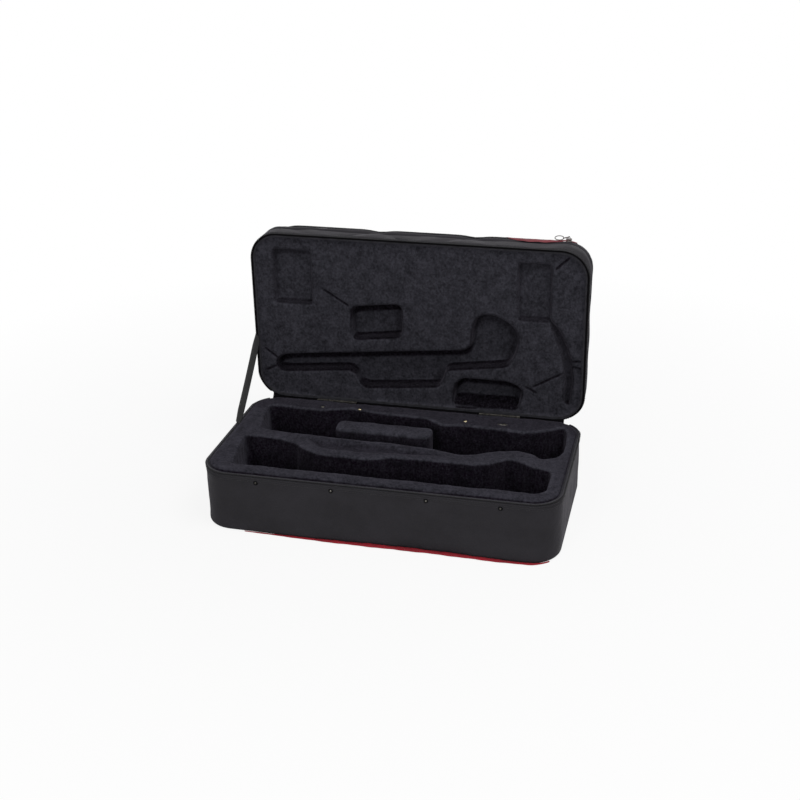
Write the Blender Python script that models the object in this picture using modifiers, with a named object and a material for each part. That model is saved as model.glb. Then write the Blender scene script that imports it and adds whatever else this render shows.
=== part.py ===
# Soft-covered case for two trumpets, open on its stay strap. Metres, +Z up, front towards -Y.
# The origin is the centre of the base's underside. The lid is modelled closed, in a frame on the
# hinge axis, and that frame is turned back to the open angle.
import math

import bmesh
import bpy
from mathutils import Matrix, Vector

# Whole case
CASE_LENGTH = 0.590
CASE_DEPTH = 0.310
BASE_HEIGHT = 0.106
LID_HEIGHT = 0.038
CORNER_RADIUS = 0.048
EDGE_RADIUS = 0.007
LEAST_CORNER_RADIUS = 0.006
LID_OPEN_DEG = 88.86

# Walls and fits
FIT_GAP = 0.0003
COVER_WALL = 0.0016
SHELL_WALL = 0.004
COVER_SETBACK = 0.0033
SHELL_SETBACK = 0.0017
OVERRUN = 0.004
WELD_DISTANCE = 0.00001

# Facets
CORNER_STEPS = 6
EDGE_STEPS = 3
ROUND_SIDES = 16
EDGE_ANGLE_DEG = 60
SMOOTH_ANGLE_DEG = 35

# Foam of the base
TONGUE_INSET = 0.009
TONGUE_RISE = 0.004
FOAM_CHAMFER = 0.002
WELL_FLOOR_FOAM = 0.0038
SCOOP_DEPTH = 0.005
SOFT_CORNER = 0.006
SOFT_CORNER_SHARE = 0.30
BLOCK_LENGTH = 0.168
BLOCK_WIDTH = 0.038
BLOCK_CORNER = 0.008
BLOCK_EDGE = 0.005
BLOCK_DROP = 0.002
BLOCK_CENTRE_SHARES = (-0.061, 0.182)

# Outlines in the base, as shares of the case's length and depth from its centre
FRONT_WELL_SHARES = (
    (-0.432, -0.400), (0.434, -0.400), (0.454, -0.355), (0.454, -0.177), (0.444, -0.135),
    (0.400, -0.123), (0.369, -0.084), (0.342, -0.058), (0.322, -0.061), (0.305, -0.090),
    (0.280, -0.135), (0.237, -0.155), (0.003, -0.161), (-0.024, -0.194), (-0.063, -0.210),
    (-0.183, -0.210), (-0.217, -0.197), (-0.251, -0.161), (-0.285, -0.103), (-0.336, -0.071),
    (-0.386, -0.058), (-0.417, -0.065), (-0.432, -0.097),
)
REAR_WELL_SHARES = (
    (-0.417, 0.058), (-0.390, 0.039), (-0.331, 0.026), (-0.169, 0.013), (0.003, 0.006),
    (0.112, -0.013), (0.153, -0.035), (0.190, -0.052), (0.229, -0.029), (0.269, 0.019),
    (0.310, 0.048), (0.337, 0.060), (0.363, 0.055), (0.393, 0.029), (0.410, -0.006),
    (0.424, -0.010), (0.454, 0.026), (0.469, 0.087), (0.469, 0.194), (0.459, 0.310),
    (0.446, 0.358), (0.424, 0.335), (0.383, 0.284), (0.331, 0.252), (0.095, 0.258),
    (0.068, 0.284), (0.044, 0.329), (-0.063, 0.335), (-0.210, 0.342), (-0.244, 0.313),
    (-0.266, 0.284), (-0.337, 0.297), (-0.410, 0.310), (-0.424, 0.284),
)
SCOOP_SHARES = (
    (-0.262, -0.023), (-0.242, -0.064), (-0.208, -0.123), (-0.100, -0.133), (0.000, -0.103),
    (0.170, -0.082), (0.100, -0.045), (-0.083, -0.026),
)

# Foam of the lid
LID_PANEL = 0.006
LID_RECESS_DEPTH = 0.024
LID_SLOT_DEPTH = 0.010

# Outlines in the lid, as shares of the length and depth from its centre, towards the free edge
LID_LEFT_POUCH_SHARES = ((-0.437, 0.087), (-0.320, 0.087), (-0.320, 0.403), (-0.437, 0.403))
LID_RIGHT_POUCH_SHARES = ((0.297, 0.081), (0.393, 0.081), (0.393, 0.410), (0.297, 0.410))
LID_MIDDLE_POUCH_SHARES = (
    (-0.201, -0.090), (-0.190, -0.110), (-0.054, -0.077), (-0.046, -0.058), (-0.046, 0.100),
    (-0.058, 0.119), (-0.188, 0.090), (-0.200, 0.075),
)
LID_TROUGH_SHARES = (
    (-0.446, -0.310), (-0.431, -0.342), (-0.205, -0.300), (-0.193, -0.330), (-0.180, -0.385),
    (-0.163, -0.406), (0.063, -0.365), (0.075, -0.335), (0.088, -0.255), (0.271, -0.206),
    (0.295, -0.129), (0.303, -0.052), (0.297, 0.010), (0.271, 0.058), (0.234, 0.094),
    (0.200, 0.100), (0.175, 0.071), (0.164, 0.000), (0.163, -0.090), (0.147, -0.126),
    (-0.407, -0.235), (-0.437, -0.255),
)
LID_LOWER_POUCH_SHARES = (
    (0.112, -0.342), (0.117, -0.426), (0.128, -0.442), (0.305, -0.442), (0.317, -0.425),
    (0.331, -0.329), (0.271, -0.294), (0.136, -0.297),
)
LID_RIM_SLOT_SHARES = (
    (0.388, 0.100), (0.405, 0.010), (0.425, -0.080), (0.435, -0.170), (0.440, -0.270),
    (0.438, -0.385), (0.456, -0.412), (0.464, -0.270), (0.457, -0.155), (0.444, -0.065),
    (0.424, 0.026),
)

# Main zip
TAPE_THICKNESS = 0.0011
TAPE_WIDTH = 0.0064
TAPE_END_SHARE = 0.62
COIL_RADIUS = 0.0011
COIL_DROP_AT_HINGE = 0.0075
COIL_BEYOND_SLIDER = 0.010
COIL_OUTSET = COIL_RADIUS + FIT_GAP
PARKED_SLIDER_FROM_CORNER = 0.041

# Sliders and pulls
SLIDER_LENGTH = 0.011
SLIDER_HALF_HEIGHT = 0.0040
SLIDER_OUT = 0.0058
CHANNEL_GAP = 0.0005
POST_RADIUS = 0.0012
POST_RISE = 0.0020
POST_HEAD_RADIUS = 0.0026
POST_HEAD_THICKNESS = 0.0012
PULL_LENGTH = 0.026
PULL_WIDTH = 0.0075
PULL_THICKNESS = 0.0012
PULL_EYE_RADIUS = 0.0017

# Red piping on the front bottom edge
PIPING_RADIUS = 0.0023
PIPING_START_FROM_END = 0.075
PIPING_CORNER_STEPS = 2
PIPING_POINTS = 11
PIPING_END_SHARE = 0.35

# A low domed head, from its crown out and down and back along its flat underside
CAP_PROFILE_SHARES = ((0, 1.0), (0.45, 0.92), (0.80, 0.62), (1.0, 0), (0, 0))

# Chrome studs on the front
STUD_SHARES = (-0.332, -0.118, 0.145, 0.345)
STUD_DROP = 0.0132
STUD_RADIUS = 0.0032
STUD_HEIGHT = 0.0018

# Hinges
HINGE_CENTRE_SHARE = 0.2517
HINGE_LENGTH = 0.073
HINGE_PLATE_EXTRA = 0.024
KNUCKLE_COUNT = 3
KNUCKLE_RADIUS = 0.0020
HINGE_PIN_RADIUS = 0.0010
HINGE_BORE_GAP = 0.0002
LEAF_THICKNESS = 0.0010
LEAF_SINK = 0.0003
BASE_LEAF_REACH = 0.058
LID_LEAF_REACH = 0.024
FINGER_GAP = 0.0004
RISER_GAP = 0.0004
HINGE_RIVET_OFFSETS = (-0.0522, 0.0156)
HINGE_RIVET_INSET = 0.0440
HINGE_RIVET_RADIUS = 0.0030
HINGE_RIVET_HEIGHT = 0.0013

# Fabric spine behind the hinge
SPINE_END_GAP = 0.012
SPINE_THICKNESS = 0.0012
SPINE_DOWN = 0.018
SPINE_BACK = 0.017
SPINE_BEND = 0.0062

# Stay strap
STRAP_INSET = 0.0026
STRAP_BASE_FROM_HINGE = 0.1255
STRAP_LID_FROM_HINGE = 0.1165
STRAP_WIDTH = 0.020
STRAP_THICKNESS = 0.0014

# Carrying handle on the rear wall
BRACKET_BELOW_SPINE = 0.001
HANDLE_PIVOT_OUT = 0.0102
HANDLE_HALF_SPAN = 0.062
HANDLE_DROP = 0.036
GRIP_RADIUS = 0.0085
EYE_RADIUS = 0.0058
EYE_WIDTH = 0.0115
HANDLE_PIN_RADIUS = 0.0020
HANDLE_PIN_OVERHANG = 0.0012
EAR_GAP = 0.0005
EAR_THICKNESS = 0.0020
EAR_HEIGHT = 0.013
EAR_BEYOND_PIN = 0.0050
BRACKET_PLATE_WIDTH = 0.030
BRACKET_PLATE_HEIGHT = 0.034
BRACKET_PLATE_THICKNESS = 0.0016
BRACKET_RIVET_OFFSET = 0.0125
BRACKET_RIVET_RADIUS = 0.0028
BRACKET_RIVET_HEIGHT = 0.0014

# Half of the grip's line, as shares of its half span and its drop, and its thickness there
GRIP_LINE_SHARES = ((1, 0), (0.968, 0.389), (0.839, 0.611), (0.677, 0.833), (0.333, 1))
GRIP_THICKNESS_SHARES = (0.56, 0.62, 0.90, 1, 1)

# Outer pocket on the lid
POCKET_HEIGHT = 0.016
POCKET_CROWN = 0.007
POCKET_SIDE_INSET = 0.0015
POCKET_EDGE = 0.004
POCKET_FOOT = 0.0015
POCKET_CROWN_INSETS = (0.030, 0.080)
POCKET_CROWN_SHARES = (0.55, 1.0)
RED_BAND_LENGTH = 0.119
RED_BAND_FROM_END = 0.033
RED_BAND_HALF_WIDTH = 0.0040
RED_BAND_HALF_THICKNESS = 0.0022
RED_BAND_POINTS = 9
RED_BAND_END_SHARE = 0.30
RED_BAND_HEIGHT = 0.0050
POCKET_ZIP_HEIGHT = 0.0132
POCKET_ZIP_FROM_LEFT = 0.050
POCKET_ZIP_FROM_RIGHT = 0.0325
POCKET_SLIDER_FROM_ZIP_END = 0.0095
PULL_EAR_RISE = 0.0044
PULL_EAR_THICKNESS = 0.0010
PULL_EAR_LENGTH = 0.0030
LINK_PIN_RADIUS = 0.0007
LINK_LENGTH = 0.0110
LINK_WIDTH = 0.0030
LINK_THICKNESS = 0.0013
RING_RADIUS = 0.0062
RING_WIRE = 0.0010
PULL_TILT_DEG = 10

# Places that follow from the sizes above
HALF_LENGTH = CASE_LENGTH / 2
HALF_DEPTH = CASE_DEPTH / 2
SHELL_INSET = COVER_WALL + FIT_GAP
FOAM_INSET = SHELL_INSET + SHELL_WALL + FIT_GAP
TONGUE_TOP = BASE_HEIGHT + TONGUE_RISE
SHELL_TOP = BASE_HEIGHT - SHELL_SETBACK
WELL_FLOOR = FOAM_INSET + WELL_FLOOR_FOAM
LID_FOAM_TOP = LID_HEIGHT - FOAM_INSET
PIPING_LEFT_X = PIPING_START_FROM_END - HALF_LENGTH
PARKED_SLIDER_X = HALF_LENGTH - CORNER_RADIUS - PARKED_SLIDER_FROM_CORNER
COIL_REAR_REACH = PARKED_SLIDER_X - COIL_BEYOND_SLIDER
SPINE_HALF_LENGTH = COIL_REAR_REACH - SPINE_END_GAP
HINGE_CENTRE_X = HINGE_CENTRE_SHARE * CASE_LENGTH
HINGE_INNER_X = HINGE_CENTRE_X - HINGE_LENGTH / 2
HINGE_OUTER_X = HINGE_CENTRE_X + HINGE_LENGTH / 2
HINGE_PLATE_INNER_X = HINGE_INNER_X - HINGE_PLATE_EXTRA
HANDLE_PIVOT_Z = BASE_HEIGHT - SPINE_DOWN - BRACKET_BELOW_SPINE - BRACKET_PLATE_HEIGHT / 2

# Directions
FRONT = Vector((0, -1, 0))
SIDE = Vector((1, 0, 0))
BACK = Vector((0, 1, 0))
UP = Vector((0, 0, 1))


def clear_scene():
    for old in list(bpy.data.objects):
        bpy.data.objects.remove(old, do_unlink=True)


def new_collection(name):
    group = bpy.data.collections.new(name)
    bpy.context.scene.collection.children.link(group)
    return group


def new_material(name, colour, roughness, metallic):
    material = bpy.data.materials.new(name)
    material.use_nodes = True
    shader = material.node_tree.nodes["Principled BSDF"]
    shader.inputs["Base Color"].default_value = (*colour, 1)
    shader.inputs["Roughness"].default_value = roughness
    shader.inputs["Metallic"].default_value = metallic
    return material


clear_scene()
PARTS = new_collection("trumpet_case")
CUTTERS = new_collection("cutters")

NYLON = new_material("nylon_cover", (0.020, 0.020, 0.022), 0.75, 0)
BOARD = new_material("board", (0.060, 0.050, 0.042), 0.80, 0)
PLUSH = new_material("plush", (0.028, 0.028, 0.031), 0.95, 0)
TAPE = new_material("zip_tape", (0.030, 0.030, 0.032), 0.85, 0)
COIL = new_material("zip_coil", (0.015, 0.015, 0.016), 0.45, 0)
RED = new_material("red_trim", (0.420, 0.020, 0.030), 0.60, 0)
WEBBING = new_material("webbing", (0.025, 0.026, 0.022), 0.85, 0)
CHROME = new_material("chrome", (0.750, 0.750, 0.760), 0.15, 1)
STEEL = new_material("hinge_steel", (0.450, 0.440, 0.400), 0.35, 1)
BLACK_METAL = new_material("black_metal", (0.030, 0.030, 0.030), 0.40, 1)
GRIP = new_material("grip_rubber", (0.018, 0.018, 0.018), 0.60, 0)


def add_object(name, data, material=None, parent=None, group=None):
    part = bpy.data.objects.new(name, data)
    (group or PARTS).objects.link(part)
    part.parent = parent
    if material:
        data.materials.append(material)
        data.shade_smooth()
        data.set_sharp_from_angle(angle=math.radians(SMOOTH_ANGLE_DEG))
    return part


def rounded_rect(half_x, half_y, radius, steps=CORNER_STEPS):
    centres = ((half_x - radius, half_y - radius), (radius - half_x, half_y - radius),
               (radius - half_x, radius - half_y), (half_x - radius, radius - half_y))
    points = []
    for quarter, (cx, cy) in enumerate(centres):
        for step in range(steps + 1):
            angle = (quarter + step / steps) * math.pi / 2
            points.append((cx + radius * math.cos(angle), cy + radius * math.sin(angle)))
    return points


def case_outline(inset):
    radius = max(CORNER_RADIUS - inset, LEAST_CORNER_RADIUS)
    return rounded_rect(HALF_LENGTH - inset, HALF_DEPTH - inset, radius)


def from_shares(shares):
    return [(x * CASE_LENGTH, y * CASE_DEPTH) for x, y in shares]


def lid_from_shares(shares):
    return [(x, -HALF_DEPTH - y) for x, y in from_shares(shares)]


def soften(points):
    """Cut each corner of a closed outline once, by SOFT_CORNER or a share of a short side."""
    softer = []
    for start, end in zip(points, points[1:] + points[:1]):
        start, end = Vector(start), Vector(end)
        cut = min(SOFT_CORNER / (end - start).length, SOFT_CORNER_SHARE)
        softer.append(tuple(start.lerp(end, cut)))
        softer.append(tuple(end.lerp(start, cut)))
    return softer


def shift(points, dx, dy):
    return [(x + dx, y + dy) for x, y in points]


def loft_mesh(name, sections):
    """A closed solid through level outlines, given as (z, points) from the lowest up."""
    bm = bmesh.new()
    rings = [[bm.verts.new((x, y, z)) for x, y in points] for z, points in sections]
    count = len(rings[0])
    for low, high in zip(rings, rings[1:]):
        for i in range(count):
            j = (i + 1) % count
            bm.faces.new((low[i], low[j], high[j], high[i]))
    bm.faces.new(list(reversed(rings[0])))
    bm.faces.new(rings[-1])
    bmesh.ops.recalc_face_normals(bm, faces=bm.faces)
    mesh = bpy.data.meshes.new(name)
    bm.to_mesh(mesh)
    bm.free()
    return mesh


def tray(name, inset, floor_z, rim_z, wall, edge_radius, material, parent=None, centre_y=0):
    """An open box with round corners: its floor at floor_z and its open edge at rim_z."""
    bm = bmesh.new()
    bm.faces.new([bm.verts.new((x, y, floor_z)) for x, y in shift(case_outline(inset), 0, centre_y)])
    walls = bmesh.ops.extrude_edge_only(bm, edges=bm.edges[:])["geom"]
    rim = [item for item in walls if isinstance(item, bmesh.types.BMVert)]
    bmesh.ops.translate(bm, verts=rim, vec=(0, 0, rim_z - floor_z))
    bmesh.ops.recalc_face_normals(bm, faces=bm.faces)
    mesh = bpy.data.meshes.new(name)
    bm.to_mesh(mesh)
    bm.free()
    part = add_object(name, mesh, material, parent)
    edge = part.modifiers.new("round_edge", "BEVEL")
    edge.width = edge_radius
    edge.segments = EDGE_STEPS
    edge.limit_method = "ANGLE"
    edge.angle_limit = math.radians(EDGE_ANGLE_DEG)
    skin = part.modifiers.new("wall", "SOLIDIFY")
    skin.thickness = wall
    skin.offset = -1
    skin.use_even_offset = True
    return part


def rounded_top(top, radius):
    """The (z, inset) steps of a rounded edge, from the foot of its curve up to the top."""
    turns = [step / EDGE_STEPS * math.pi / 2 for step in range(EDGE_STEPS + 1)]
    return [(top - radius * (1 - math.sin(a)), radius * (1 - math.cos(a))) for a in turns]


def taper(share_along, end_share):
    """A bead's thickness: full in the middle, end_share of it at its ends."""
    return end_share + (1 - end_share) * math.sqrt(max(0, math.sin(math.pi * share_along)))


def evaluated_mesh(part):
    """The mesh of a curve or modified object, welded, and the object removed."""
    bpy.context.view_layer.update()
    mesh = bpy.data.meshes.new_from_object(part.evaluated_get(bpy.context.evaluated_depsgraph_get()))
    mesh.name = part.name
    bm = bmesh.new()
    bm.from_mesh(mesh)
    bmesh.ops.remove_doubles(bm, verts=bm.verts, dist=WELD_DISTANCE)
    bmesh.ops.recalc_face_normals(bm, faces=bm.faces)
    bm.to_mesh(mesh)
    bm.free()
    bpy.data.objects.remove(part, do_unlink=True)
    mesh.materials.clear()
    return mesh


def plate_mesh(name, outlines, low, high):
    """A flat plate in the XY plane from z = low to z = high. Inner outlines are holes."""
    curve = bpy.data.curves.new(name, "CURVE")
    curve.dimensions = "2D"
    curve.fill_mode = "BOTH"
    curve.extrude = (high - low) / 2
    for outline in outlines:
        spline = curve.splines.new("POLY")
        spline.points.add(len(outline) - 1)
        for point, (x, y) in zip(spline.points, outline):
            point.co = (x, y, 0, 1)
        spline.use_cyclic_u = True
    mesh = evaluated_mesh(add_object(name, curve, group=CUTTERS))
    mesh.transform(Matrix.Translation((0, 0, (low + high) / 2)))
    return mesh


def tube_mesh(name, points, radius, shares=None, resolution=1):
    """A round bar along points, its radius scaled by shares."""
    curve = bpy.data.curves.new(name, "CURVE")
    curve.dimensions = "3D"
    curve.bevel_depth = radius
    curve.bevel_resolution = resolution
    curve.use_fill_caps = True
    spline = curve.splines.new("POLY")
    spline.points.add(len(points) - 1)
    for index, place in enumerate(points):
        spline.points[index].co = (*place, 1)
        spline.points[index].radius = shares[index] if shares else 1
    return evaluated_mesh(add_object(name, curve, group=CUTTERS))


def box_mesh(name, low, high):
    bm = bmesh.new()
    bmesh.ops.create_cube(bm, size=1)
    size = Vector(high) - Vector(low)
    middle = (Vector(high) + Vector(low)) / 2
    bm.transform(Matrix.Translation(middle) @ Matrix.Diagonal((*size, 1)))
    mesh = bpy.data.meshes.new(name)
    bm.to_mesh(mesh)
    bm.free()
    return mesh


def rod_mesh(name, centre, direction, radius, length, end_radius=None, sides=ROUND_SIDES):
    """A cylinder, or a cone when end_radius is given, centred on centre."""
    bm = bmesh.new()
    bmesh.ops.create_cone(bm, cap_ends=True, segments=sides, radius1=radius, depth=length,
                          radius2=radius if end_radius is None else end_radius)
    turn = Vector(direction).to_track_quat("Z", "Y").to_matrix().to_4x4()
    bm.transform(Matrix.Translation(Vector(centre)) @ turn)
    mesh = bpy.data.meshes.new(name)
    bm.to_mesh(mesh)
    bm.free()
    return mesh


def combine(part, meshes, operation, place=(0, 0, 0)):
    """Join or cut a part with meshes drawn about a place in the frame that the part stands in."""
    for mesh in meshes:
        mesh.transform(Matrix.Translation(place))
        cutter = add_object(mesh.name, mesh, group=CUTTERS, parent=part.parent)
        cutter.hide_render = True
        cutter.display_type = "WIRE"
        step = part.modifiers.new(mesh.name, "BOOLEAN")
        step.operation = operation
        step.object = cutter
        step.solver = "EXACT"


def turned_cap(name, centre, direction, radius, height, material, parent=None):
    """A low domed head: a turned profile standing on its flat face at centre."""
    mesh = bpy.data.meshes.new(name)
    bm = bmesh.new()
    verts = [bm.verts.new((r * radius, 0, z * height)) for r, z in CAP_PROFILE_SHARES]
    for a, b in zip(verts, verts[1:]):
        bm.edges.new((a, b))
    bm.to_mesh(mesh)
    bm.free()
    part = add_object(name, mesh, material, parent)
    part.location = centre
    part.rotation_mode = "QUATERNION"
    part.rotation_quaternion = Vector(direction).to_track_quat("Z", "Y")
    turn = part.modifiers.new("turn", "SCREW")
    turn.axis = "Z"
    turn.steps = turn.render_steps = ROUND_SIDES
    turn.use_merge_vertices = True
    turn.merge_threshold = WELD_DISTANCE
    return part


def lid_frame():
    frame = bpy.data.objects.new("lid_hinge_frame", None)
    PARTS.objects.link(frame)
    frame.location = (0, HALF_DEPTH, BASE_HEIGHT)
    frame.rotation_euler.x = -math.radians(LID_OPEN_DEG)
    return frame


# Base

def make_base_cover():
    tray("base_cover", 0, 0, BASE_HEIGHT - COVER_SETBACK, COVER_WALL, EDGE_RADIUS, NYLON)


def make_base_shell():
    tray("base_shell", SHELL_INSET, SHELL_INSET, SHELL_TOP, SHELL_WALL,
         EDGE_RADIUS - SHELL_INSET, BOARD)


def leaf_pocket(name, side, reach, face_z, depth):
    """The shallow pocket that a hinge leaf lies in, in the foam's own frame."""
    xs = sorted((side * (HINGE_PLATE_INNER_X - FIT_GAP), side * (HINGE_OUTER_X + FIT_GAP)))
    low_y = HALF_DEPTH - reach - FIT_GAP
    zs = sorted((face_z - depth, face_z + math.copysign(OVERRUN, depth)))
    return box_mesh(name, (xs[0], low_y, zs[0]), (xs[1], HALF_DEPTH + OVERRUN, zs[1]))


def make_base_insert():
    body, chamfered = case_outline(FOAM_INSET), case_outline(FOAM_INSET + FOAM_CHAMFER)
    tongue, tongue_top = case_outline(TONGUE_INSET), case_outline(TONGUE_INSET + FOAM_CHAMFER)
    mesh = loft_mesh("base_insert", [
        (FOAM_INSET, chamfered), (FOAM_INSET + FOAM_CHAMFER, body), (SHELL_TOP, body),
        (SHELL_TOP, tongue), (TONGUE_TOP - FOAM_CHAMFER, tongue), (TONGUE_TOP, tongue_top)])
    insert = add_object("base_insert", mesh, PLUSH)
    top = TONGUE_TOP + OVERRUN
    leaf_depth = LEAF_THICKNESS + LEAF_SINK + FIT_GAP
    combine(insert, [
        plate_mesh("front_well_cut", [soften(from_shares(FRONT_WELL_SHARES))], WELL_FLOOR, top),
        plate_mesh("rear_well_cut", [soften(from_shares(REAR_WELL_SHARES))], WELL_FLOOR, top),
        plate_mesh("scoop_cut", [soften(from_shares(SCOOP_SHARES))], TONGUE_TOP - SCOOP_DEPTH, top),
        leaf_pocket("leaf_cut_left", -1, BASE_LEAF_REACH, TONGUE_TOP, leaf_depth),
        leaf_pocket("leaf_cut_right", 1, BASE_LEAF_REACH, TONGUE_TOP, leaf_depth),
    ], "DIFFERENCE")


def make_rear_well_block():
    top = TONGUE_TOP - BLOCK_DROP
    half_x, half_y = BLOCK_LENGTH / 2, BLOCK_WIDTH / 2
    centre = from_shares([BLOCK_CENTRE_SHARES])[0]

    def ring(inset):
        outline = rounded_rect(half_x - inset, half_y - inset, BLOCK_CORNER - inset)
        return shift(outline, *centre)

    sections = [(WELL_FLOOR + FIT_GAP, ring(0))]
    sections += [(z, ring(inset)) for z, inset in rounded_top(top, BLOCK_EDGE)]
    add_object("rear_well_block", loft_mesh("rear_well_block", sections), PLUSH)


def corner_path(outset, share):
    """Points round three sides, from the rear left corner's share of its arc to the rear right."""
    radius = CORNER_RADIUS + outset
    cx, cy = HALF_LENGTH - CORNER_RADIUS, HALF_DEPTH - CORNER_RADIUS
    rear = [share * step / CORNER_STEPS for step in range(CORNER_STEPS, -1, -1)]
    front = [step / CORNER_STEPS for step in range(CORNER_STEPS + 1)]
    points = []
    for turn in rear:
        angle = math.pi - turn * math.pi / 2
        points.append((-cx + radius * math.cos(angle), cy + radius * math.sin(angle)))
    for turn in front:
        angle = math.pi + turn * math.pi / 2
        points.append((-cx + radius * math.cos(angle), -cy + radius * math.sin(angle)))
    return points + [(-x, y) for x, y in reversed(points)]


def tape_outline():
    outer = corner_path(0, TAPE_END_SHARE)
    inner = corner_path(-TAPE_WIDTH, TAPE_END_SHARE)
    return outer + list(reversed(inner))


def coil_points(level, away):
    """The coil's line: level round three sides, led away from the hinge line at the rear."""
    flat = corner_path(COIL_OUTSET, 1)
    points = []
    for index, (x, y) in enumerate(flat):
        from_end = min(index, len(flat) - 1 - index)
        fall = max(0, 1 - from_end / CORNER_STEPS)
        points.append((x, y, level + away * fall * fall * (3 - 2 * fall)))
    rear_y = HALF_DEPTH + COIL_OUTSET
    left, right = (-COIL_REAR_REACH, rear_y, level + away), (COIL_REAR_REACH, rear_y, level + away)
    return [left] + points + [right]


def make_base_zip():
    low = SHELL_TOP + FIT_GAP
    tape = plate_mesh("base_zip_tape", [tape_outline()], low, low + TAPE_THICKNESS)
    add_object("base_zip_tape", tape, TAPE)
    line = coil_points(base_coil_level(), -COIL_DROP_AT_HINGE)
    add_object("base_zip_coil", tube_mesh("base_zip_coil", line, COIL_RADIUS), COIL)


def base_coil_level():
    return BASE_HEIGHT - FIT_GAP - COIL_RADIUS


def make_red_piping():
    """A tapered bead under the front edge, which follows the front right corner a little way."""
    bend_x = HALF_LENGTH - CORNER_RADIUS
    bend_y = CORNER_RADIUS - HALF_DEPTH
    run = bend_x - PIPING_LEFT_X
    line = [(PIPING_LEFT_X + run * step / PIPING_POINTS, 0) for step in range(PIPING_POINTS + 1)]
    line += [(bend_x, step / CORNER_STEPS * math.pi / 2) for step in range(1, PIPING_CORNER_STEPS + 1)]
    places, shares = [], []
    for number, (x, turn) in enumerate(line):
        share = taper(number / (len(line) - 1), PIPING_END_SHARE)
        centre_z = FIT_GAP + PIPING_RADIUS * share
        # Touches both the floor's plane and the cover's rounded edge
        reach = CORNER_RADIUS - EDGE_RADIUS + 2 * math.sqrt(EDGE_RADIUS * centre_z) + FIT_GAP
        places.append((x + reach * math.sin(turn), bend_y - reach * math.cos(turn), centre_z))
        shares.append(share)
    add_object("base_red_piping", tube_mesh("base_red_piping", places, PIPING_RADIUS, shares, 2), RED)


def make_front_studs():
    for number, share in enumerate(STUD_SHARES, 1):
        place = (share * CASE_LENGTH, -HALF_DEPTH - FIT_GAP, BASE_HEIGHT - STUD_DROP)
        turned_cap(f"front_stud_{number}", place, FRONT, STUD_RADIUS, STUD_HEIGHT, CHROME)


# Hinges

def leaf_profile(face, riser, reach):
    """A leaf's section in a hinge frame: y towards the rear, z up, the pin's axis at zero.

    It runs forward from the knuckle, up its riser, and forward over the foam at height face.
    """
    half = LEAF_THICKNESS / 2
    riser_front = -riser - LEAF_THICKNESS
    return [(0, -half), (0, half), (-riser, half), (-riser, face), (-reach, face),
            (-reach, face - LEAF_THICKNESS), (riser_front, face - LEAF_THICKNESS),
            (riser_front, -half)]


def profile_along_x(name, outline, low_x, high_x):
    """An outline in the YZ plane, extruded along X."""
    mesh = plate_mesh(name, [outline], low_x, high_x)
    mesh.transform(Matrix(((0, 0, 1, 0), (1, 0, 0, 0), (0, 1, 0, 0), (0, 0, 0, 1))))
    return mesh


def make_leaf(name, side, profile, plate_inner, notches, parent, offset):
    """A bent leaf with its knuckle. Each notch is (start share, end share, front y, top z)."""
    face, riser, reach = profile
    low, high = sorted((side * HINGE_OUTER_X, side * HINGE_INNER_X))
    run, middle = high - low, (low + high) / 2
    mesh = profile_along_x(name, leaf_profile(face, riser, reach), low, high)
    part = add_object(name, mesh, STEEL, parent)
    part.location = offset
    joins = [rod_mesh(name + "_knuckle", (middle, 0, 0), SIDE, KNUCKLE_RADIUS, run)]
    if plate_inner:
        edge_low, edge_high = sorted((side * plate_inner, middle))
        joins.append(box_mesh(name + "_plate", (edge_low, -reach, face - LEAF_THICKNESS),
                              (edge_high, -riser - LEAF_THICKNESS, face)))
    combine(part, joins, "UNION", offset)
    bore = HINGE_PIN_RADIUS + HINGE_BORE_GAP
    cuts = [rod_mesh(name + "_bore", (middle, 0, 0), SIDE, bore, run + OVERRUN)]
    depth = KNUCKLE_RADIUS + FIT_GAP
    for start, end, front_y, top_z in notches:
        cut_low = low + start * run - (FINGER_GAP if start > 0 else OVERRUN)
        cut_high = low + end * run + (FINGER_GAP if end < 1 else OVERRUN)
        cuts.append(box_mesh(name + "_notch", (cut_low, front_y, -depth), (cut_high, depth, top_z)))
    combine(part, cuts, "DIFFERENCE", offset)
    return part


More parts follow.
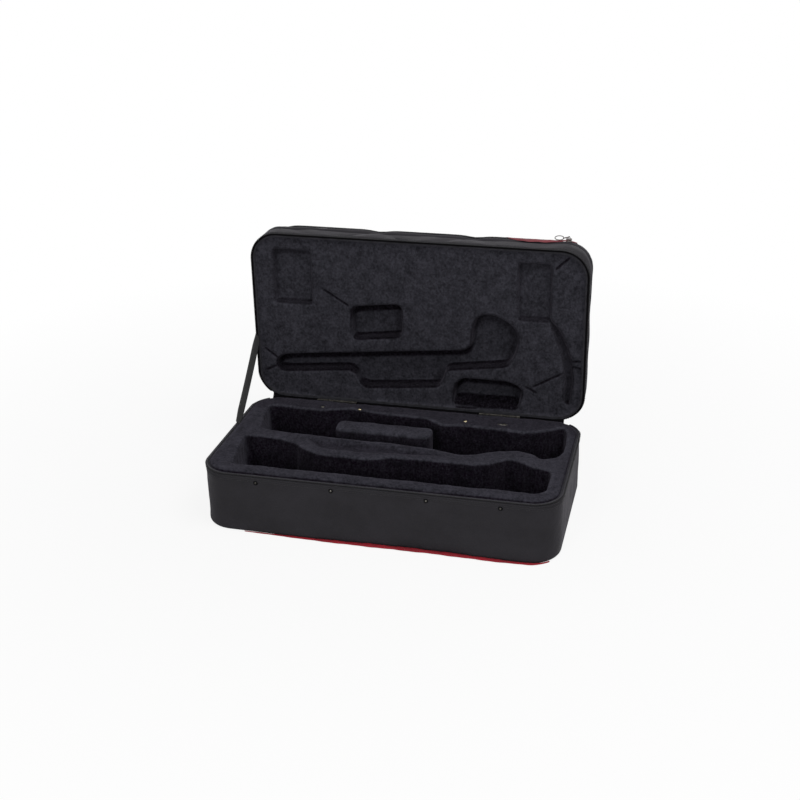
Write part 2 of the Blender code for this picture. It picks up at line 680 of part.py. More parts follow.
def make_hinges(lid):
    base_at = Vector((0, HALF_DEPTH, BASE_HEIGHT))
    base_face = TONGUE_RISE - LEAF_SINK
    lid_face = LID_PANEL + LEAF_SINK + LEAF_THICKNESS
    first = 1 / KNUCKLE_COUNT
    last = 1 - first
    # The lid's riser folds down in front of the base's, through a gap cut in the base's leaf
    base_riser = SHELL_INSET + SHELL_WALL + RISER_GAP
    lid_riser = base_riser + LEAF_THICKNESS + FIT_GAP
    lid_riser_front = lid_riser + LEAF_THICKNESS + RISER_GAP
    base_notch = (first, last, -lid_riser_front, base_face + OVERRUN)
    lid_notch_top = lid_face - LEAF_THICKNESS - FIT_GAP
    lid_notches = [(0, first, -lid_riser_front, lid_notch_top), (last, 1, -lid_riser_front, lid_notch_top)]
    for side, word in ((-1, "left"), (1, "right")):
        make_leaf(f"hinge_base_leaf_{word}", side, (base_face, base_riser, BASE_LEAF_REACH),
                  HINGE_PLATE_INNER_X, [base_notch], None, base_at)
        make_leaf(f"hinge_lid_leaf_{word}", side, (lid_face, lid_riser, LID_LEAF_REACH),
                  None, lid_notches, lid, Vector((0, 0, 0)))
        pin = rod_mesh(f"hinge_pin_{word}", (0, 0, 0), SIDE, HINGE_PIN_RADIUS, HINGE_LENGTH)
        pin_part = add_object(f"hinge_pin_{word}", pin, STEEL)
        pin_part.location = (side * HINGE_CENTRE_X, HALF_DEPTH, BASE_HEIGHT)
    rivets = [side * (HINGE_CENTRE_X + offset) for side in (-1, 1) for offset in HINGE_RIVET_OFFSETS]
    for number, x in enumerate(sorted(rivets), 1):
        place = (x, HALF_DEPTH - HINGE_RIVET_INSET, BASE_HEIGHT + base_face + FIT_GAP)
        turned_cap(f"hinge_rivet_{number}", place, UP, HINGE_RIVET_RADIUS, HINGE_RIVET_HEIGHT, STEEL)


def make_spine_strip():
    near, far = FIT_GAP, FIT_GAP + SPINE_THICKNESS
    inner = [(near, -SPINE_DOWN), (near, -SPINE_BEND), (SPINE_BEND, -far), (SPINE_BACK, -far)]
    outer = [(x + SPINE_THICKNESS, z - SPINE_THICKNESS / 2) for x, z in inner[1:3]]
    outer = [(far, -SPINE_DOWN)] + outer + [(SPINE_BACK, -far - SPINE_THICKNESS)]
    outline = inner + outer[::-1]
    mesh = profile_along_x("spine_strip", outline, -SPINE_HALF_LENGTH, SPINE_HALF_LENGTH)
    strip = add_object("spine_strip", mesh, NYLON)
    strip.location = (0, HALF_DEPTH, BASE_HEIGHT)


def make_stay_strap():
    """Webbing on the left, from the base's tape up to the lid's tape, its ends cut to them."""
    x = -HALF_LENGTH + STRAP_INSET
    half = STRAP_WIDTH / 2
    tape_top = SHELL_TOP + TAPE_THICKNESS + 2 * FIT_GAP
    lid_tape = BASE_HEIGHT - tape_top
    angle = math.radians(LID_OPEN_DEG)
    low_y = HALF_DEPTH - STRAP_BASE_FROM_HINGE
    high_y = HALF_DEPTH - math.cos(angle) * STRAP_LID_FROM_HINGE - math.sin(angle) * lid_tape
    high_z = BASE_HEIGHT + math.sin(angle) * STRAP_LID_FROM_HINGE - math.cos(angle) * lid_tape
    run = Vector((high_y - low_y, high_z - tape_top)).normalized()
    low_cut, high_cut = half / run.y, half / run.x
    corners = [(low_y - low_cut, tape_top), (low_y + low_cut, tape_top),
               (high_y, high_z - high_cut), (high_y, high_z + high_cut)]
    mesh = profile_along_x("stay_strap", corners, x - STRAP_THICKNESS / 2, x + STRAP_THICKNESS / 2)
    add_object("stay_strap", mesh, WEBBING)


# Sliders

def slider_profile():
    """Section of a slider over its coil: u out of the wall, v across, the coil's line at v = 0."""
    inner = COIL_RADIUS + CHANNEL_GAP
    floor = COIL_OUTSET + inner
    return [(FIT_GAP, -SLIDER_HALF_HEIGHT), (FIT_GAP, -inner), (floor, -inner), (floor, inner),
            (FIT_GAP, inner), (FIT_GAP, SLIDER_HALF_HEIGHT), (SLIDER_OUT - FIT_GAP, SLIDER_HALF_HEIGHT),
            (SLIDER_OUT, SLIDER_HALF_HEIGHT / 2), (SLIDER_OUT, -SLIDER_HALF_HEIGHT / 2),
            (SLIDER_OUT - FIT_GAP, -SLIDER_HALF_HEIGHT)]


def make_main_sliders():
    """Each slider is parked at its end of the base's coil, on the rear wall; its pull hangs."""
    level = base_coil_level() - COIL_DROP_AT_HINGE
    for side, word in ((-1, "left"), (1, "right")):
        x = side * PARKED_SLIDER_X
        name = f"zip_slider_{word}"
        body = profile_along_x(name, slider_profile(), -SLIDER_LENGTH / 2, SLIDER_LENGTH / 2)
        slider = add_object(name, body, BLACK_METAL)
        at = Vector((x, HALF_DEPTH, level))
        slider.location = at
        rise = SLIDER_OUT + POST_RISE
        post = rod_mesh(f"{name}_post", (0, (rise + SLIDER_OUT) / 2, 0), BACK, POST_RADIUS,
                        POST_RISE + 2 * FIT_GAP)
        head = rod_mesh(f"{name}_head", (0, rise + POST_HEAD_THICKNESS / 2, 0), BACK, POST_HEAD_RADIUS,
                        POST_HEAD_THICKNESS)
        combine(slider, [post, head], "UNION", at)
        make_main_pull(word, at + Vector((0, SLIDER_OUT + POST_RISE / 2, 0)))


def make_main_pull(word, at):
    half = PULL_WIDTH / 2
    top = [(half * math.cos(a), half * math.sin(a)) for a in arc_angles(0, math.pi)]
    low = [(-x, half - PULL_LENGTH - z) for x, z in top]
    eye = [(PULL_EYE_RADIUS * math.cos(a), PULL_EYE_RADIUS * math.sin(a))
           for a in arc_angles(0, 2 * math.pi)[:-1]]
    mesh = plate_mesh(f"zip_pull_{word}", [top + low, eye], -PULL_THICKNESS / 2, PULL_THICKNESS / 2)
    mesh.transform(Matrix.Rotation(math.pi / 2, 4, "X"))
    pull = add_object(f"zip_pull_{word}", mesh, BLACK_METAL)
    pull.location = at


def arc_angles(start, end):
    steps = ROUND_SIDES // 2
    return [start + (end - start) * step / steps for step in range(steps + 1)]


# Handle

def make_handle():
    at = Vector((0, HALF_DEPTH + HANDLE_PIVOT_OUT, HANDLE_PIVOT_Z))
    half = HANDLE_HALF_SPAN
    side = [(x * half, 0, -z * HANDLE_DROP) for x, z in GRIP_LINE_SHARES]
    line = side + [(-x, y, z) for x, y, z in side[::-1]]
    shares = GRIP_THICKNESS_SHARES + GRIP_THICKNESS_SHARES[::-1]
    grip = add_object("handle_grip", tube_mesh("handle_grip", line, GRIP_RADIUS, shares, 2), GRIP)
    grip.location = at
    eyes, bores = [], []
    for number, x in enumerate((-half, half), 1):
        eyes.append(rod_mesh(f"grip_eye_{number}", (x, 0, 0), SIDE, EYE_RADIUS, EYE_WIDTH))
        bores.append(rod_mesh(f"grip_bore_{number}", (x, 0, 0), SIDE, HANDLE_PIN_RADIUS + FIT_GAP,
                              EYE_WIDTH + OVERRUN))
    combine(grip, eyes, "UNION", at)
    combine(grip, bores, "DIFFERENCE", at)
    for x, word in ((-half, "left"), (half, "right")):
        make_handle_bracket(word, at + x * SIDE)


def make_handle_bracket(word, place):
    """A plate on the rear wall with two ears, which hold the grip's pin."""
    ear_in = EYE_WIDTH / 2 + EAR_GAP
    ear_out = ear_in + EAR_THICKNESS
    plate_low = FIT_GAP - HANDLE_PIVOT_OUT
    plate_high = plate_low + BRACKET_PLATE_THICKNESS
    half_width, half_height = BRACKET_PLATE_WIDTH / 2, BRACKET_PLATE_HEIGHT / 2
    name = f"handle_bracket_{word}"
    plate = box_mesh(name, (-half_width, plate_low, -half_height), (half_width, plate_high, half_height))
    bracket = add_object(name, plate, CHROME)
    bracket.location = place
    ears = []
    for number, sign in enumerate((-1, 1), 1):
        low_x, high_x = sorted((sign * ear_in, sign * ear_out))
        ears.append(box_mesh(f"{name}_ear_{number}", (low_x, plate_low + FIT_GAP, -EAR_HEIGHT / 2),
                             (high_x, EAR_BEYOND_PIN, EAR_HEIGHT / 2)))
    combine(bracket, ears, "UNION", place)
    bore = rod_mesh(f"{name}_bore", (0, 0, 0), SIDE, HANDLE_PIN_RADIUS + FIT_GAP, 2 * ear_out + OVERRUN)
    combine(bracket, [bore], "DIFFERENCE", place)
    pin = rod_mesh(f"handle_pin_{word}", (0, 0, 0), SIDE, HANDLE_PIN_RADIUS,
                   2 * (ear_out + HANDLE_PIN_OVERHANG))
    pin_part = add_object(f"handle_pin_{word}", pin, CHROME)
    pin_part.location = place
    for number, rise in enumerate((BRACKET_RIVET_OFFSET, -BRACKET_RIVET_OFFSET), 1):
        seat = place + (plate_high + FIT_GAP) * BACK + rise * UP
        turned_cap(f"{name}_rivet_{number}", seat, BACK, BRACKET_RIVET_RADIUS, BRACKET_RIVET_HEIGHT, CHROME)


# Lid

def make_lid_trays(lid):
    tray("lid_cover", 0, LID_HEIGHT, COVER_SETBACK, COVER_WALL, EDGE_RADIUS, NYLON, lid, -HALF_DEPTH)
    tray("lid_shell", SHELL_INSET, LID_HEIGHT - SHELL_INSET, SHELL_SETBACK, SHELL_WALL,
         EDGE_RADIUS - SHELL_INSET, BOARD, lid, -HALF_DEPTH)


def make_lid_insert(lid):
    body = shift(case_outline(FOAM_INSET), 0, -HALF_DEPTH)
    chamfered = shift(case_outline(FOAM_INSET + FOAM_CHAMFER), 0, -HALF_DEPTH)
    mesh = loft_mesh("lid_insert", [
        (LID_PANEL, chamfered), (LID_PANEL + FOAM_CHAMFER, body),
        (LID_FOAM_TOP - FOAM_CHAMFER, body), (LID_FOAM_TOP, chamfered)])
    insert = add_object("lid_insert", mesh, PLUSH, lid)
    recesses = (("left_pouch", LID_LEFT_POUCH_SHARES, LID_RECESS_DEPTH),
                ("right_pouch", LID_RIGHT_POUCH_SHARES, LID_RECESS_DEPTH),
                ("middle_pouch", LID_MIDDLE_POUCH_SHARES, LID_RECESS_DEPTH),
                ("trough", LID_TROUGH_SHARES, LID_RECESS_DEPTH),
                ("lower_pouch", LID_LOWER_POUCH_SHARES, LID_RECESS_DEPTH),
                ("rim_slot", LID_RIM_SLOT_SHARES, LID_SLOT_DEPTH))
    cuts = [plate_mesh(f"lid_{word}_cut", [soften(lid_from_shares(shares))],
                       LID_PANEL - OVERRUN, LID_PANEL + cut_depth)
            for word, shares, cut_depth in recesses]
    depth = LEAF_THICKNESS + LEAF_SINK + FIT_GAP
    for word, side in (("left", -1), ("right", 1)):
        pocket = leaf_pocket(f"lid_leaf_cut_{word}", side, LID_LEAF_REACH, LID_PANEL, -depth)
        pocket.transform(Matrix.Translation((0, -HALF_DEPTH, 0)))
        cuts.append(pocket)
    combine(insert, cuts, "DIFFERENCE")


def make_lid_zip(lid):
    high = SHELL_SETBACK - FIT_GAP
    outline = shift(tape_outline(), 0, -HALF_DEPTH)
    tape = plate_mesh("lid_zip_tape", [outline], high - TAPE_THICKNESS, high)
    add_object("lid_zip_tape", tape, TAPE, lid)
    line = coil_points(FIT_GAP + COIL_RADIUS, COIL_DROP_AT_HINGE)
    line = [(x, y - HALF_DEPTH, z) for x, y, z in line]
    add_object("lid_zip_coil", tube_mesh("lid_zip_coil", line, COIL_RADIUS), COIL, lid)


def make_pocket(lid):
    low = LID_HEIGHT + FIT_GAP
    high = LID_HEIGHT + POCKET_HEIGHT

    def ring(inset):
        return shift(case_outline(inset), 0, -HALF_DEPTH)

    side = POCKET_SIDE_INSET
    sections = [(low, ring(EDGE_RADIUS)), (low + POCKET_FOOT, ring(side))]
    sections += [(z, ring(side + inset)) for z, inset in rounded_top(high, POCKET_EDGE)]
    for inset, share in zip(POCKET_CROWN_INSETS, POCKET_CROWN_SHARES):
        sections.append((high + POCKET_CROWN * share, ring(inset)))
    add_object("pocket_body", loft_mesh("pocket_body", sections), NYLON, lid)


def pocket_wall():
    """The pocket's front wall, as a distance from the hinge axis."""
    return CASE_DEPTH - POCKET_SIDE_INSET


def make_red_band(lid):
    """A flattened bead along the pocket's mouth, at its right."""
    wall = -pocket_wall() - FIT_GAP - RED_BAND_HALF_THICKNESS
    left_x = HALF_LENGTH - RED_BAND_FROM_END - RED_BAND_LENGTH
    steps = [step / RED_BAND_POINTS for step in range(RED_BAND_POINTS + 1)]
    points = [(left_x + RED_BAND_LENGTH * along, 0, 0) for along in steps]
    shares = [taper(along, RED_BAND_END_SHARE) for along in steps]
    mesh = tube_mesh("pocket_red_band", points, RED_BAND_HALF_THICKNESS, shares, 2)
    mesh.transform(Matrix.Diagonal((1, 1, RED_BAND_HALF_WIDTH / RED_BAND_HALF_THICKNESS, 1)))
    band = add_object("pocket_red_band", mesh, RED, lid)
    band.location = (0, wall, LID_HEIGHT + RED_BAND_HEIGHT)


def make_pocket_zip(lid):
    wall = pocket_wall()
    level = LID_HEIGHT + POCKET_ZIP_HEIGHT
    line_y = -wall - COIL_OUTSET
    right_x = HALF_LENGTH - POCKET_ZIP_FROM_RIGHT
    ends = [(POCKET_ZIP_FROM_LEFT - HALF_LENGTH, line_y, level), (right_x, line_y, level)]
    add_object("pocket_zip_chain", tube_mesh("pocket_zip_chain", ends, COIL_RADIUS), COIL, lid)

    at = Vector((right_x - POCKET_SLIDER_FROM_ZIP_END, -wall, level))
    outline = [(-u, v) for u, v in slider_profile()]
    body = profile_along_x("pocket_slider", outline, -SLIDER_LENGTH / 2, SLIDER_LENGTH / 2)
    slider = add_object("pocket_slider", body, BLACK_METAL, lid)
    slider.location = at
    ear_in = LINK_WIDTH / 2 + EAR_GAP
    ear_out = ear_in + PULL_EAR_THICKNESS
    pin_out = SLIDER_OUT + PULL_EAR_RISE - PULL_EAR_LENGTH / 2
    ears = []
    half_ear = PULL_EAR_LENGTH / 2
    for number, sign in enumerate((-1, 1), 1):
        low_z, high_z = sorted((sign * ear_in, sign * ear_out))
        ears.append(box_mesh(f"pocket_ear_{number}", (-half_ear, -SLIDER_OUT - PULL_EAR_RISE, low_z),
                             (half_ear, FIT_GAP - SLIDER_OUT, high_z)))
    combine(slider, ears, "UNION", at)
    bore = rod_mesh("pocket_ear_bore", (0, -pin_out, 0), UP, LINK_PIN_RADIUS + FIT_GAP,
                    2 * ear_out + OVERRUN)
    combine(slider, [bore], "DIFFERENCE", at)

    pull_at = at + Vector((0, -pin_out, 0))
    link = box_mesh("pocket_pull", (-LINK_LENGTH, -LINK_THICKNESS / 2, -LINK_WIDTH / 2),
                    (LINK_PIN_RADIUS, LINK_THICKNESS / 2, LINK_WIDTH / 2))
    pull = add_object("pocket_pull", link, CHROME, lid)
    tilt = Matrix.Rotation(-math.radians(PULL_TILT_DEG), 4, "Z")
    pull.matrix_local = Matrix.Translation(pull_at) @ tilt
    pin = rod_mesh("pocket_pull_pin", (0, 0, 0), UP, LINK_PIN_RADIUS, 2 * ear_out)
    ring_x = -LINK_LENGTH - RING_RADIUS
    ring_points = [(ring_x + RING_RADIUS * math.cos(a), 0, RING_RADIUS * math.sin(a))
                   for a in arc_angles(0, 2 * math.pi)[:-1]]
    ring = ring_mesh("pocket_pull_ring", ring_points)
    ring.transform(tilt)
    combine(pull, [pin, ring], "UNION", pull_at)


def ring_mesh(name, points):
    curve = bpy.data.curves.new(name, "CURVE")
    curve.dimensions = "3D"
    curve.bevel_depth = RING_WIRE
    curve.bevel_resolution = 1
    spline = curve.splines.new("POLY")
    spline.points.add(len(points) - 1)
    for index, place in enumerate(points):
        spline.points[index].co = (*place, 1)
    spline.use_cyclic_u = True
    return evaluated_mesh(add_object(name, curve, group=CUTTERS))


make_base_cover()
make_base_shell()
make_base_insert()
make_rear_well_block()
make_base_zip()
make_red_piping()
make_front_studs()
LID = lid_frame()
make_lid_trays(LID)
make_lid_insert(LID)
make_lid_zip(LID)
make_pocket(LID)
make_red_band(LID)
make_pocket_zip(LID)
make_hinges(LID)
make_spine_strip()
make_stay_strap()
make_main_sliders()
make_handle()
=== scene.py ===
"""The look of the trumpet case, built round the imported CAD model. Metres, +Z up, front towards -Y."""
import math

import bpy
import numpy as np
from mathutils import Matrix, Vector


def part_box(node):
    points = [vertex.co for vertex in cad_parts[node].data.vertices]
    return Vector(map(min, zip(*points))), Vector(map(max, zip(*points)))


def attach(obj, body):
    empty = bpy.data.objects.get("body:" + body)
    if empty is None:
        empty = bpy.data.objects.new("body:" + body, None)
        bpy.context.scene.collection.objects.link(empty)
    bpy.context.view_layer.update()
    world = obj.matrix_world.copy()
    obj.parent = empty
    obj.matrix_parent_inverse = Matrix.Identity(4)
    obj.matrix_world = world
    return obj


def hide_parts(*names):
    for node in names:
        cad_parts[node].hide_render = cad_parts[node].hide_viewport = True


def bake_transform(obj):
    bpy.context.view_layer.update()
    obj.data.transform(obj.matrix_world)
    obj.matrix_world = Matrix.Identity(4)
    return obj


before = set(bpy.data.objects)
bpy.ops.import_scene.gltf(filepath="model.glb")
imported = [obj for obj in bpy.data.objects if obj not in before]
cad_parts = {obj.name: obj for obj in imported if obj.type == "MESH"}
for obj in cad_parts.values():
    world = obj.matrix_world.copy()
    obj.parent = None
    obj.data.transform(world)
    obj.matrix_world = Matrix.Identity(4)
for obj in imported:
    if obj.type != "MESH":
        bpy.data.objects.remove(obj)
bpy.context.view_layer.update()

# Sizes that the CAD model has too
LENGTH, DEPTH, BASE_H, LID_H = 0.590, 0.310, 0.106, 0.038
HX, HY = LENGTH / 2, DEPTH / 2
CORNER_R = 0.048
TONGUE_TOP = 0.110
WELL_FLOOR = 0.010
PANEL_Z = 0.006
RECESS_DEPTH = 0.024
POCKET_H = 0.016
OPEN = math.radians(88.86)
HINGE = Vector((0, HY, BASE_H))
LID = Matrix.Translation(HINGE) @ Matrix.Rotation(-OPEN, 4, "X")

FRONT_WELL = (
    (-0.418, -0.400), (0.434, -0.400), (0.454, -0.355), (0.454, -0.177), (0.444, -0.135),
    (0.400, -0.123), (0.369, -0.084), (0.342, -0.058), (0.322, -0.061), (0.305, -0.090),
    (0.280, -0.135), (0.237, -0.155), (0.003, -0.161), (-0.024, -0.194), (-0.063, -0.210),
    (-0.183, -0.210), (-0.217, -0.197), (-0.251, -0.161), (-0.285, -0.103), (-0.336, -0.071),
    (-0.386, -0.058), (-0.428, -0.058), (-0.443, -0.085),
)
REAR_WELL = (
    (-0.417, 0.058), (-0.390, 0.039), (-0.331, 0.026), (-0.169, 0.013), (0.003, 0.006),
    (0.112, -0.013), (0.153, -0.035), (0.190, -0.052), (0.229, -0.029), (0.269, 0.019),
    (0.310, 0.048), (0.337, 0.060), (0.363, 0.055), (0.393, 0.029), (0.410, -0.006),
    (0.424, -0.010), (0.454, 0.026), (0.469, 0.087), (0.469, 0.194), (0.464, 0.330),
    (0.450, 0.400), (0.428, 0.368), (0.390, 0.316), (0.335, 0.284), (0.181, 0.296), (0.102, 0.288),
    (0.074, 0.314), (0.048, 0.352), (-0.034, 0.362), (-0.138, 0.372), (-0.196, 0.388), (-0.236, 0.358),
    (-0.274, 0.330), (-0.367, 0.344), (-0.426, 0.352), (-0.442, 0.325),
)
SCOOP = (
    (-0.262, -0.023), (-0.242, -0.064), (-0.208, -0.123), (-0.100, -0.133), (0.000, -0.103),
    (0.170, -0.082), (0.100, -0.045), (-0.083, -0.026),
)
LEFT_POUCH = ((-0.437, 0.087), (-0.320, 0.087), (-0.320, 0.403), (-0.437, 0.403))
RIGHT_POUCH = ((0.297, 0.081), (0.393, 0.081), (0.393, 0.410), (0.297, 0.410))
MIDDLE_POUCH = (
    (-0.201, -0.090), (-0.190, -0.110), (-0.054, -0.077), (-0.046, -0.058), (-0.046, 0.100),
    (-0.058, 0.119), (-0.188, 0.090), (-0.200, 0.075),
)
TROUGH = (
    (-0.446, -0.310), (-0.431, -0.342), (-0.205, -0.300), (-0.193, -0.330), (-0.180, -0.385),
    (-0.163, -0.406), (0.063, -0.365), (0.075, -0.335), (0.088, -0.255), (0.271, -0.206),
    (0.295, -0.129), (0.303, -0.052), (0.297, 0.010), (0.271, 0.058), (0.234, 0.094),
    (0.200, 0.100), (0.175, 0.071), (0.164, 0.000), (0.163, -0.090), (0.147, -0.126),
    (-0.407, -0.235), (-0.437, -0.255),
)
LOWER_POUCH = (
    (0.113, -0.342), (0.108, -0.455), (0.118, -0.474), (0.290, -0.466), (0.306, -0.450),
    (0.318, -0.350), (0.300, -0.318), (0.271, -0.298), (0.136, -0.297),
)
RIM_SLOT = (
    (0.388, 0.100), (0.405, 0.010), (0.425, -0.080), (0.435, -0.170), (0.440, -0.270),
    (0.438, -0.385), (0.456, -0.412), (0.464, -0.270), (0.457, -0.155), (0.444, -0.065),
    (0.424, 0.026),
)


# Creases in the lid's plush: start, end and depth, from the lid's centre
CREASES = (
    ((-0.173, 0.060), (-0.116, 0.025), 0.0034), ((0.234, 0.116), (0.264, 0.145), 0.0032),
    ((0.197, -0.102), (0.262, -0.064), 0.0036), ((-0.290, -0.110), (-0.248, -0.090), 0.0026),
    ((-0.286, -0.060), (-0.256, -0.083), 0.0026), ((0.266, -0.045), (0.289, -0.042), 0.0020),
    ((0.268, -0.052), (0.290, -0.057), 0.0016), ((0.188, -0.096), (0.216, -0.110), 0.0018),
)
# Where the hinge rivets stand, and how far each plush lining stops from the outline
RIVETS = ((-0.1641, 0.1180), (-0.0963, 0.1210), (0.0963, 0.1110), (0.1641, 0.1110))
PLUSH_IN, LID_PLUSH_IN = 0.0042, 0.0028


# Materials

class Shader:
    """A material's node tree, with short calls for the nodes that the fabrics and metals use."""

    def __init__(self, name, rough, metallic=0.0, spec=0.5, sheen=0.0, sheen_rough=0.5, coat=0.0):
        self.material = bpy.data.materials.new(name)
        self.material.use_nodes = True
        self.tree = self.material.node_tree
        self.bsdf = self.tree.nodes["Principled BSDF"]
        self.bsdf.inputs["Roughness"].default_value = rough
        self.bsdf.inputs["Metallic"].default_value = metallic
        self.bsdf.inputs["Specular IOR Level"].default_value = spec
        self.bsdf.inputs["Sheen Weight"].default_value = sheen
        self.bsdf.inputs["Sheen Roughness"].default_value = sheen_rough
        self.bsdf.inputs["Coat Weight"].default_value = coat
        coords = self.tree.nodes.new("ShaderNodeTexCoord")
        self.place, self.normal = coords.outputs["Object"], coords.outputs["Normal"]

    def link(self, source, socket):
        self.tree.links.new(source, socket)

    def value(self, operation, a, b=None, c=None):
        node = self.tree.nodes.new("ShaderNodeMath")
        node.operation = operation
        for index, item in enumerate((a, b, c)):
            if item is None:
                continue
            if isinstance(item, (int, float)):
                node.inputs[index].default_value = item
            else:
                self.link(item, node.inputs[index])
        return node.outputs[0]

    def scaled(self, scale):
        node = self.tree.nodes.new("ShaderNodeMapping")
        node.inputs["Scale"].default_value = scale
        self.link(self.place, node.inputs["Vector"])
        return node.outputs["Vector"]

    def noise(self, scale, detail=2.0, rough=0.5, at=None):
        node = self.tree.nodes.new("ShaderNodeTexNoise")
        node.inputs["Scale"].default_value = scale
        node.inputs["Detail"].default_value = detail
        node.inputs["Roughness"].default_value = rough
        self.link(at or self.place, node.inputs["Vector"])
        return node.outputs["Fac"]

    def ramp(self, value, low, high, dark, light):
        """dark where the value is low and light where it is high."""
        node = self.tree.nodes.new("ShaderNodeValToRGB")
        node.color_ramp.elements[0].position = low
        node.color_ramp.elements[1].position = high
        node.color_ramp.elements[0].color = (*dark, 1)
        node.color_ramp.elements[1].color = (*light, 1)
        self.link(value, node.inputs["Fac"])
        return node.outputs["Color"]

    def grey(self, value, low, high, dark, light):
        return self.ramp(value, low, high, (dark,) * 3, (light,) * 3)

    def colour(self, output, green=-0.80):
        """The colour, darkened by painted shade and lightened by painted highlights as the mesh's hollow attribute
        says, the painted shade made uneven by a noise, and redder in the shade where green says so.
        """
        # The hollow attribute holds painted shade, and painted highlights where it is negative
        hollow = self.tree.nodes.new("ShaderNodeAttribute")
        hollow.attribute_name = "hollow"
        uneven = self.grey(self.noise(300, 3, 0.65), 0.36, 0.64, 0.72, 1.18)
        deep = self.value("MULTIPLY", hollow.outputs["Fac"], uneven)
        shares = self.tree.nodes.new("ShaderNodeCombineXYZ")
        for index, fall in enumerate((-0.80, green, -0.80)):
            self.link(self.value("MULTIPLY_ADD", deep, fall, 1.0), shares.inputs[index])
        shade = self.tree.nodes.new("ShaderNodeVectorMath")
        shade.operation = "MULTIPLY"
        self.link(output, shade.inputs[0])
        self.link(shares.outputs[0], shade.inputs[1])
        self.link(shade.outputs[0], self.bsdf.inputs["Base Color"])

    def rough(self, value, low, high):
        self.link(self.grey(value, 0.3, 0.7, low, high), self.bsdf.inputs["Roughness"])

    def bump(self, height, distance, strength=1.0):
        node = self.tree.nodes.new("ShaderNodeBump")
        node.inputs["Distance"].default_value = distance
        node.inputs["Strength"].default_value = strength
        self.link(height, node.inputs["Height"])
        before = self.bsdf.inputs["Normal"].links
        if before:
            self.link(before[0].from_socket, node.inputs["Normal"])
        self.link(node.outputs["Normal"], self.bsdf.inputs["Normal"])

    def weave(self, pitch):
        """Over-and-under threads on whichever plane the surface faces, 0 to 1."""
        split = self.tree.nodes.new("ShaderNodeSeparateXYZ")
        self.link(self.place, split.inputs[0])
        facing = self.tree.nodes.new("ShaderNodeSeparateXYZ")
        self.link(self.normal, facing.inputs[0])
        turn = 2 * math.pi / pitch
        waves = [self.value("SINE", self.value("MULTIPLY", split.outputs[i], turn)) for i in range(3)]
        shares = [self.value("POWER", self.value("ABSOLUTE", facing.outputs[i]), 2.0) for i in range(3)]
        total = None
        for i in range(3):
            cross = self.value("MULTIPLY", waves[(i + 1) % 3], waves[(i + 2) % 3])
            cross = self.value("MULTIPLY", cross, shares[i])
            total = cross if total is None else self.value("ADD", total, cross)
        return self.value("MULTIPLY_ADD", total, 0.5, 0.5)


def make_plush(name, dark, light, fall, green):
    """fall draws the pile's marks out along Z where it is below 1, as brushing does."""
    look = Shader(name, 0.95, spec=0.03, sheen=0.06, sheen_rough=0.5)
    look.bsdf.inputs["Sheen Tint"].default_value = (0.86, 0.80, 1.0, 1)
    streaks = look.noise(260, 3, 0.6, look.scaled((1, 1, fall)))
    pile = look.noise(900, 2, 0.6)
    patches = look.noise(38, 3, 0.55)
    brushed = look.noise(110, 3, 0.6)
    mixed = look.value("ADD", look.value("MULTIPLY", streaks, 0.34), look.value("MULTIPLY", pile, 0.20))
    mixed = look.value("ADD", mixed, look.value("MULTIPLY", patches, 0.22))
    mixed = look.value("ADD", mixed, look.value("MULTIPLY", brushed, 0.24))
    look.colour(look.ramp(mixed, 0.40, 0.60, dark, light), green)
    look.rough(patches, 0.88, 1.0)
    look.bump(streaks, 0.0014, 0.8)
    look.bump(pile, 0.0007, 0.9)
    return look.material


def make_nylon(name, dark, light, pitch=0.0024, rough=(0.50, 0.66), spec=0.16):
    look = Shader(name, 0.6, spec=spec, sheen=0.3 * spec, sheen_rough=0.4)
    look.bsdf.inputs["Sheen Tint"].default_value = (0.90, 0.82, 1.0, 1)
    weave = look.weave(pitch)
    dust = look.noise(22, 4, 0.6)
    grain = look.noise(1400, 1, 0.5)
    mixed = look.value("ADD", look.value("MULTIPLY", dust, 0.55), look.value("MULTIPLY", weave, 0.25))
    mixed = look.value("ADD", mixed, look.value("MULTIPLY", grain, 0.20))
    look.colour(look.ramp(mixed, 0.30, 0.70, dark, light))
    look.rough(dust, *rough)
    look.bump(look.noise(65, 2, 0.5), 0.0011, 0.55)
    look.bump(weave, 0.00022, 0.8)
    return look.material


def make_metal(name, tint, low, high, worn=None):
    look = Shader(name, low, metallic=1.0)
    smudge = look.noise(240, 3, 0.6)
    dark = worn or tuple(0.72 * c for c in tint)
    look.colour(look.ramp(smudge, 0.35, 0.65, dark, tint))
    look.rough(look.noise(520, 2, 0.6), low, high)
    look.bump(smudge, 0.00006, 0.5)
    return look.material


def make_moulded(name, dark, light, low, high, grain=700, depth=0.00018, metallic=0.0, coat=0.0):
    look = Shader(name, low, metallic=metallic, spec=0.3, coat=coat)
    patch = look.noise(90, 3, 0.6)
    look.colour(look.ramp(patch, 0.35, 0.65, dark, light))
    look.rough(patch, low, high)
    look.bump(look.noise(grain, 2, 0.6), depth, 0.7)
    return look.material


PLUSH = make_plush("charcoal_plush", (0.0135, 0.0133, 0.0172), (0.0520, 0.0508, 0.0645), 0.35, -0.85)
LID_PLUSH = make_plush("charcoal_plush_lid", (0.0125, 0.0124, 0.0156), (0.0460, 0.0450, 0.0560), 0.85, -0.83)
NYLON = make_nylon("black_nylon", (0.0122, 0.0113, 0.0136), (0.0240, 0.0224, 0.0268))
BINDING = make_nylon("binding_tape", (0.020, 0.0190, 0.0225), (0.042, 0.0400, 0.0470), 0.0016)
# Near-black, darker than the cover's nylon: partly the tape's own black and partly painted shade, for the dark lines at
# the lid's rim and in the gap at the hinge
TAPE = make_nylon("zip_tape", (0.0022, 0.0020, 0.0025), (0.0050, 0.0045, 0.0055), 0.0014, (0.80, 0.92), 0.03)
WEBBING = make_nylon("webbing", (0.034, 0.034, 0.034), (0.068, 0.068, 0.067), 0.0030, (0.62, 0.80))
RED = make_nylon("red_weave", (0.170, 0.006, 0.012), (0.470, 0.018, 0.034), 0.0016)
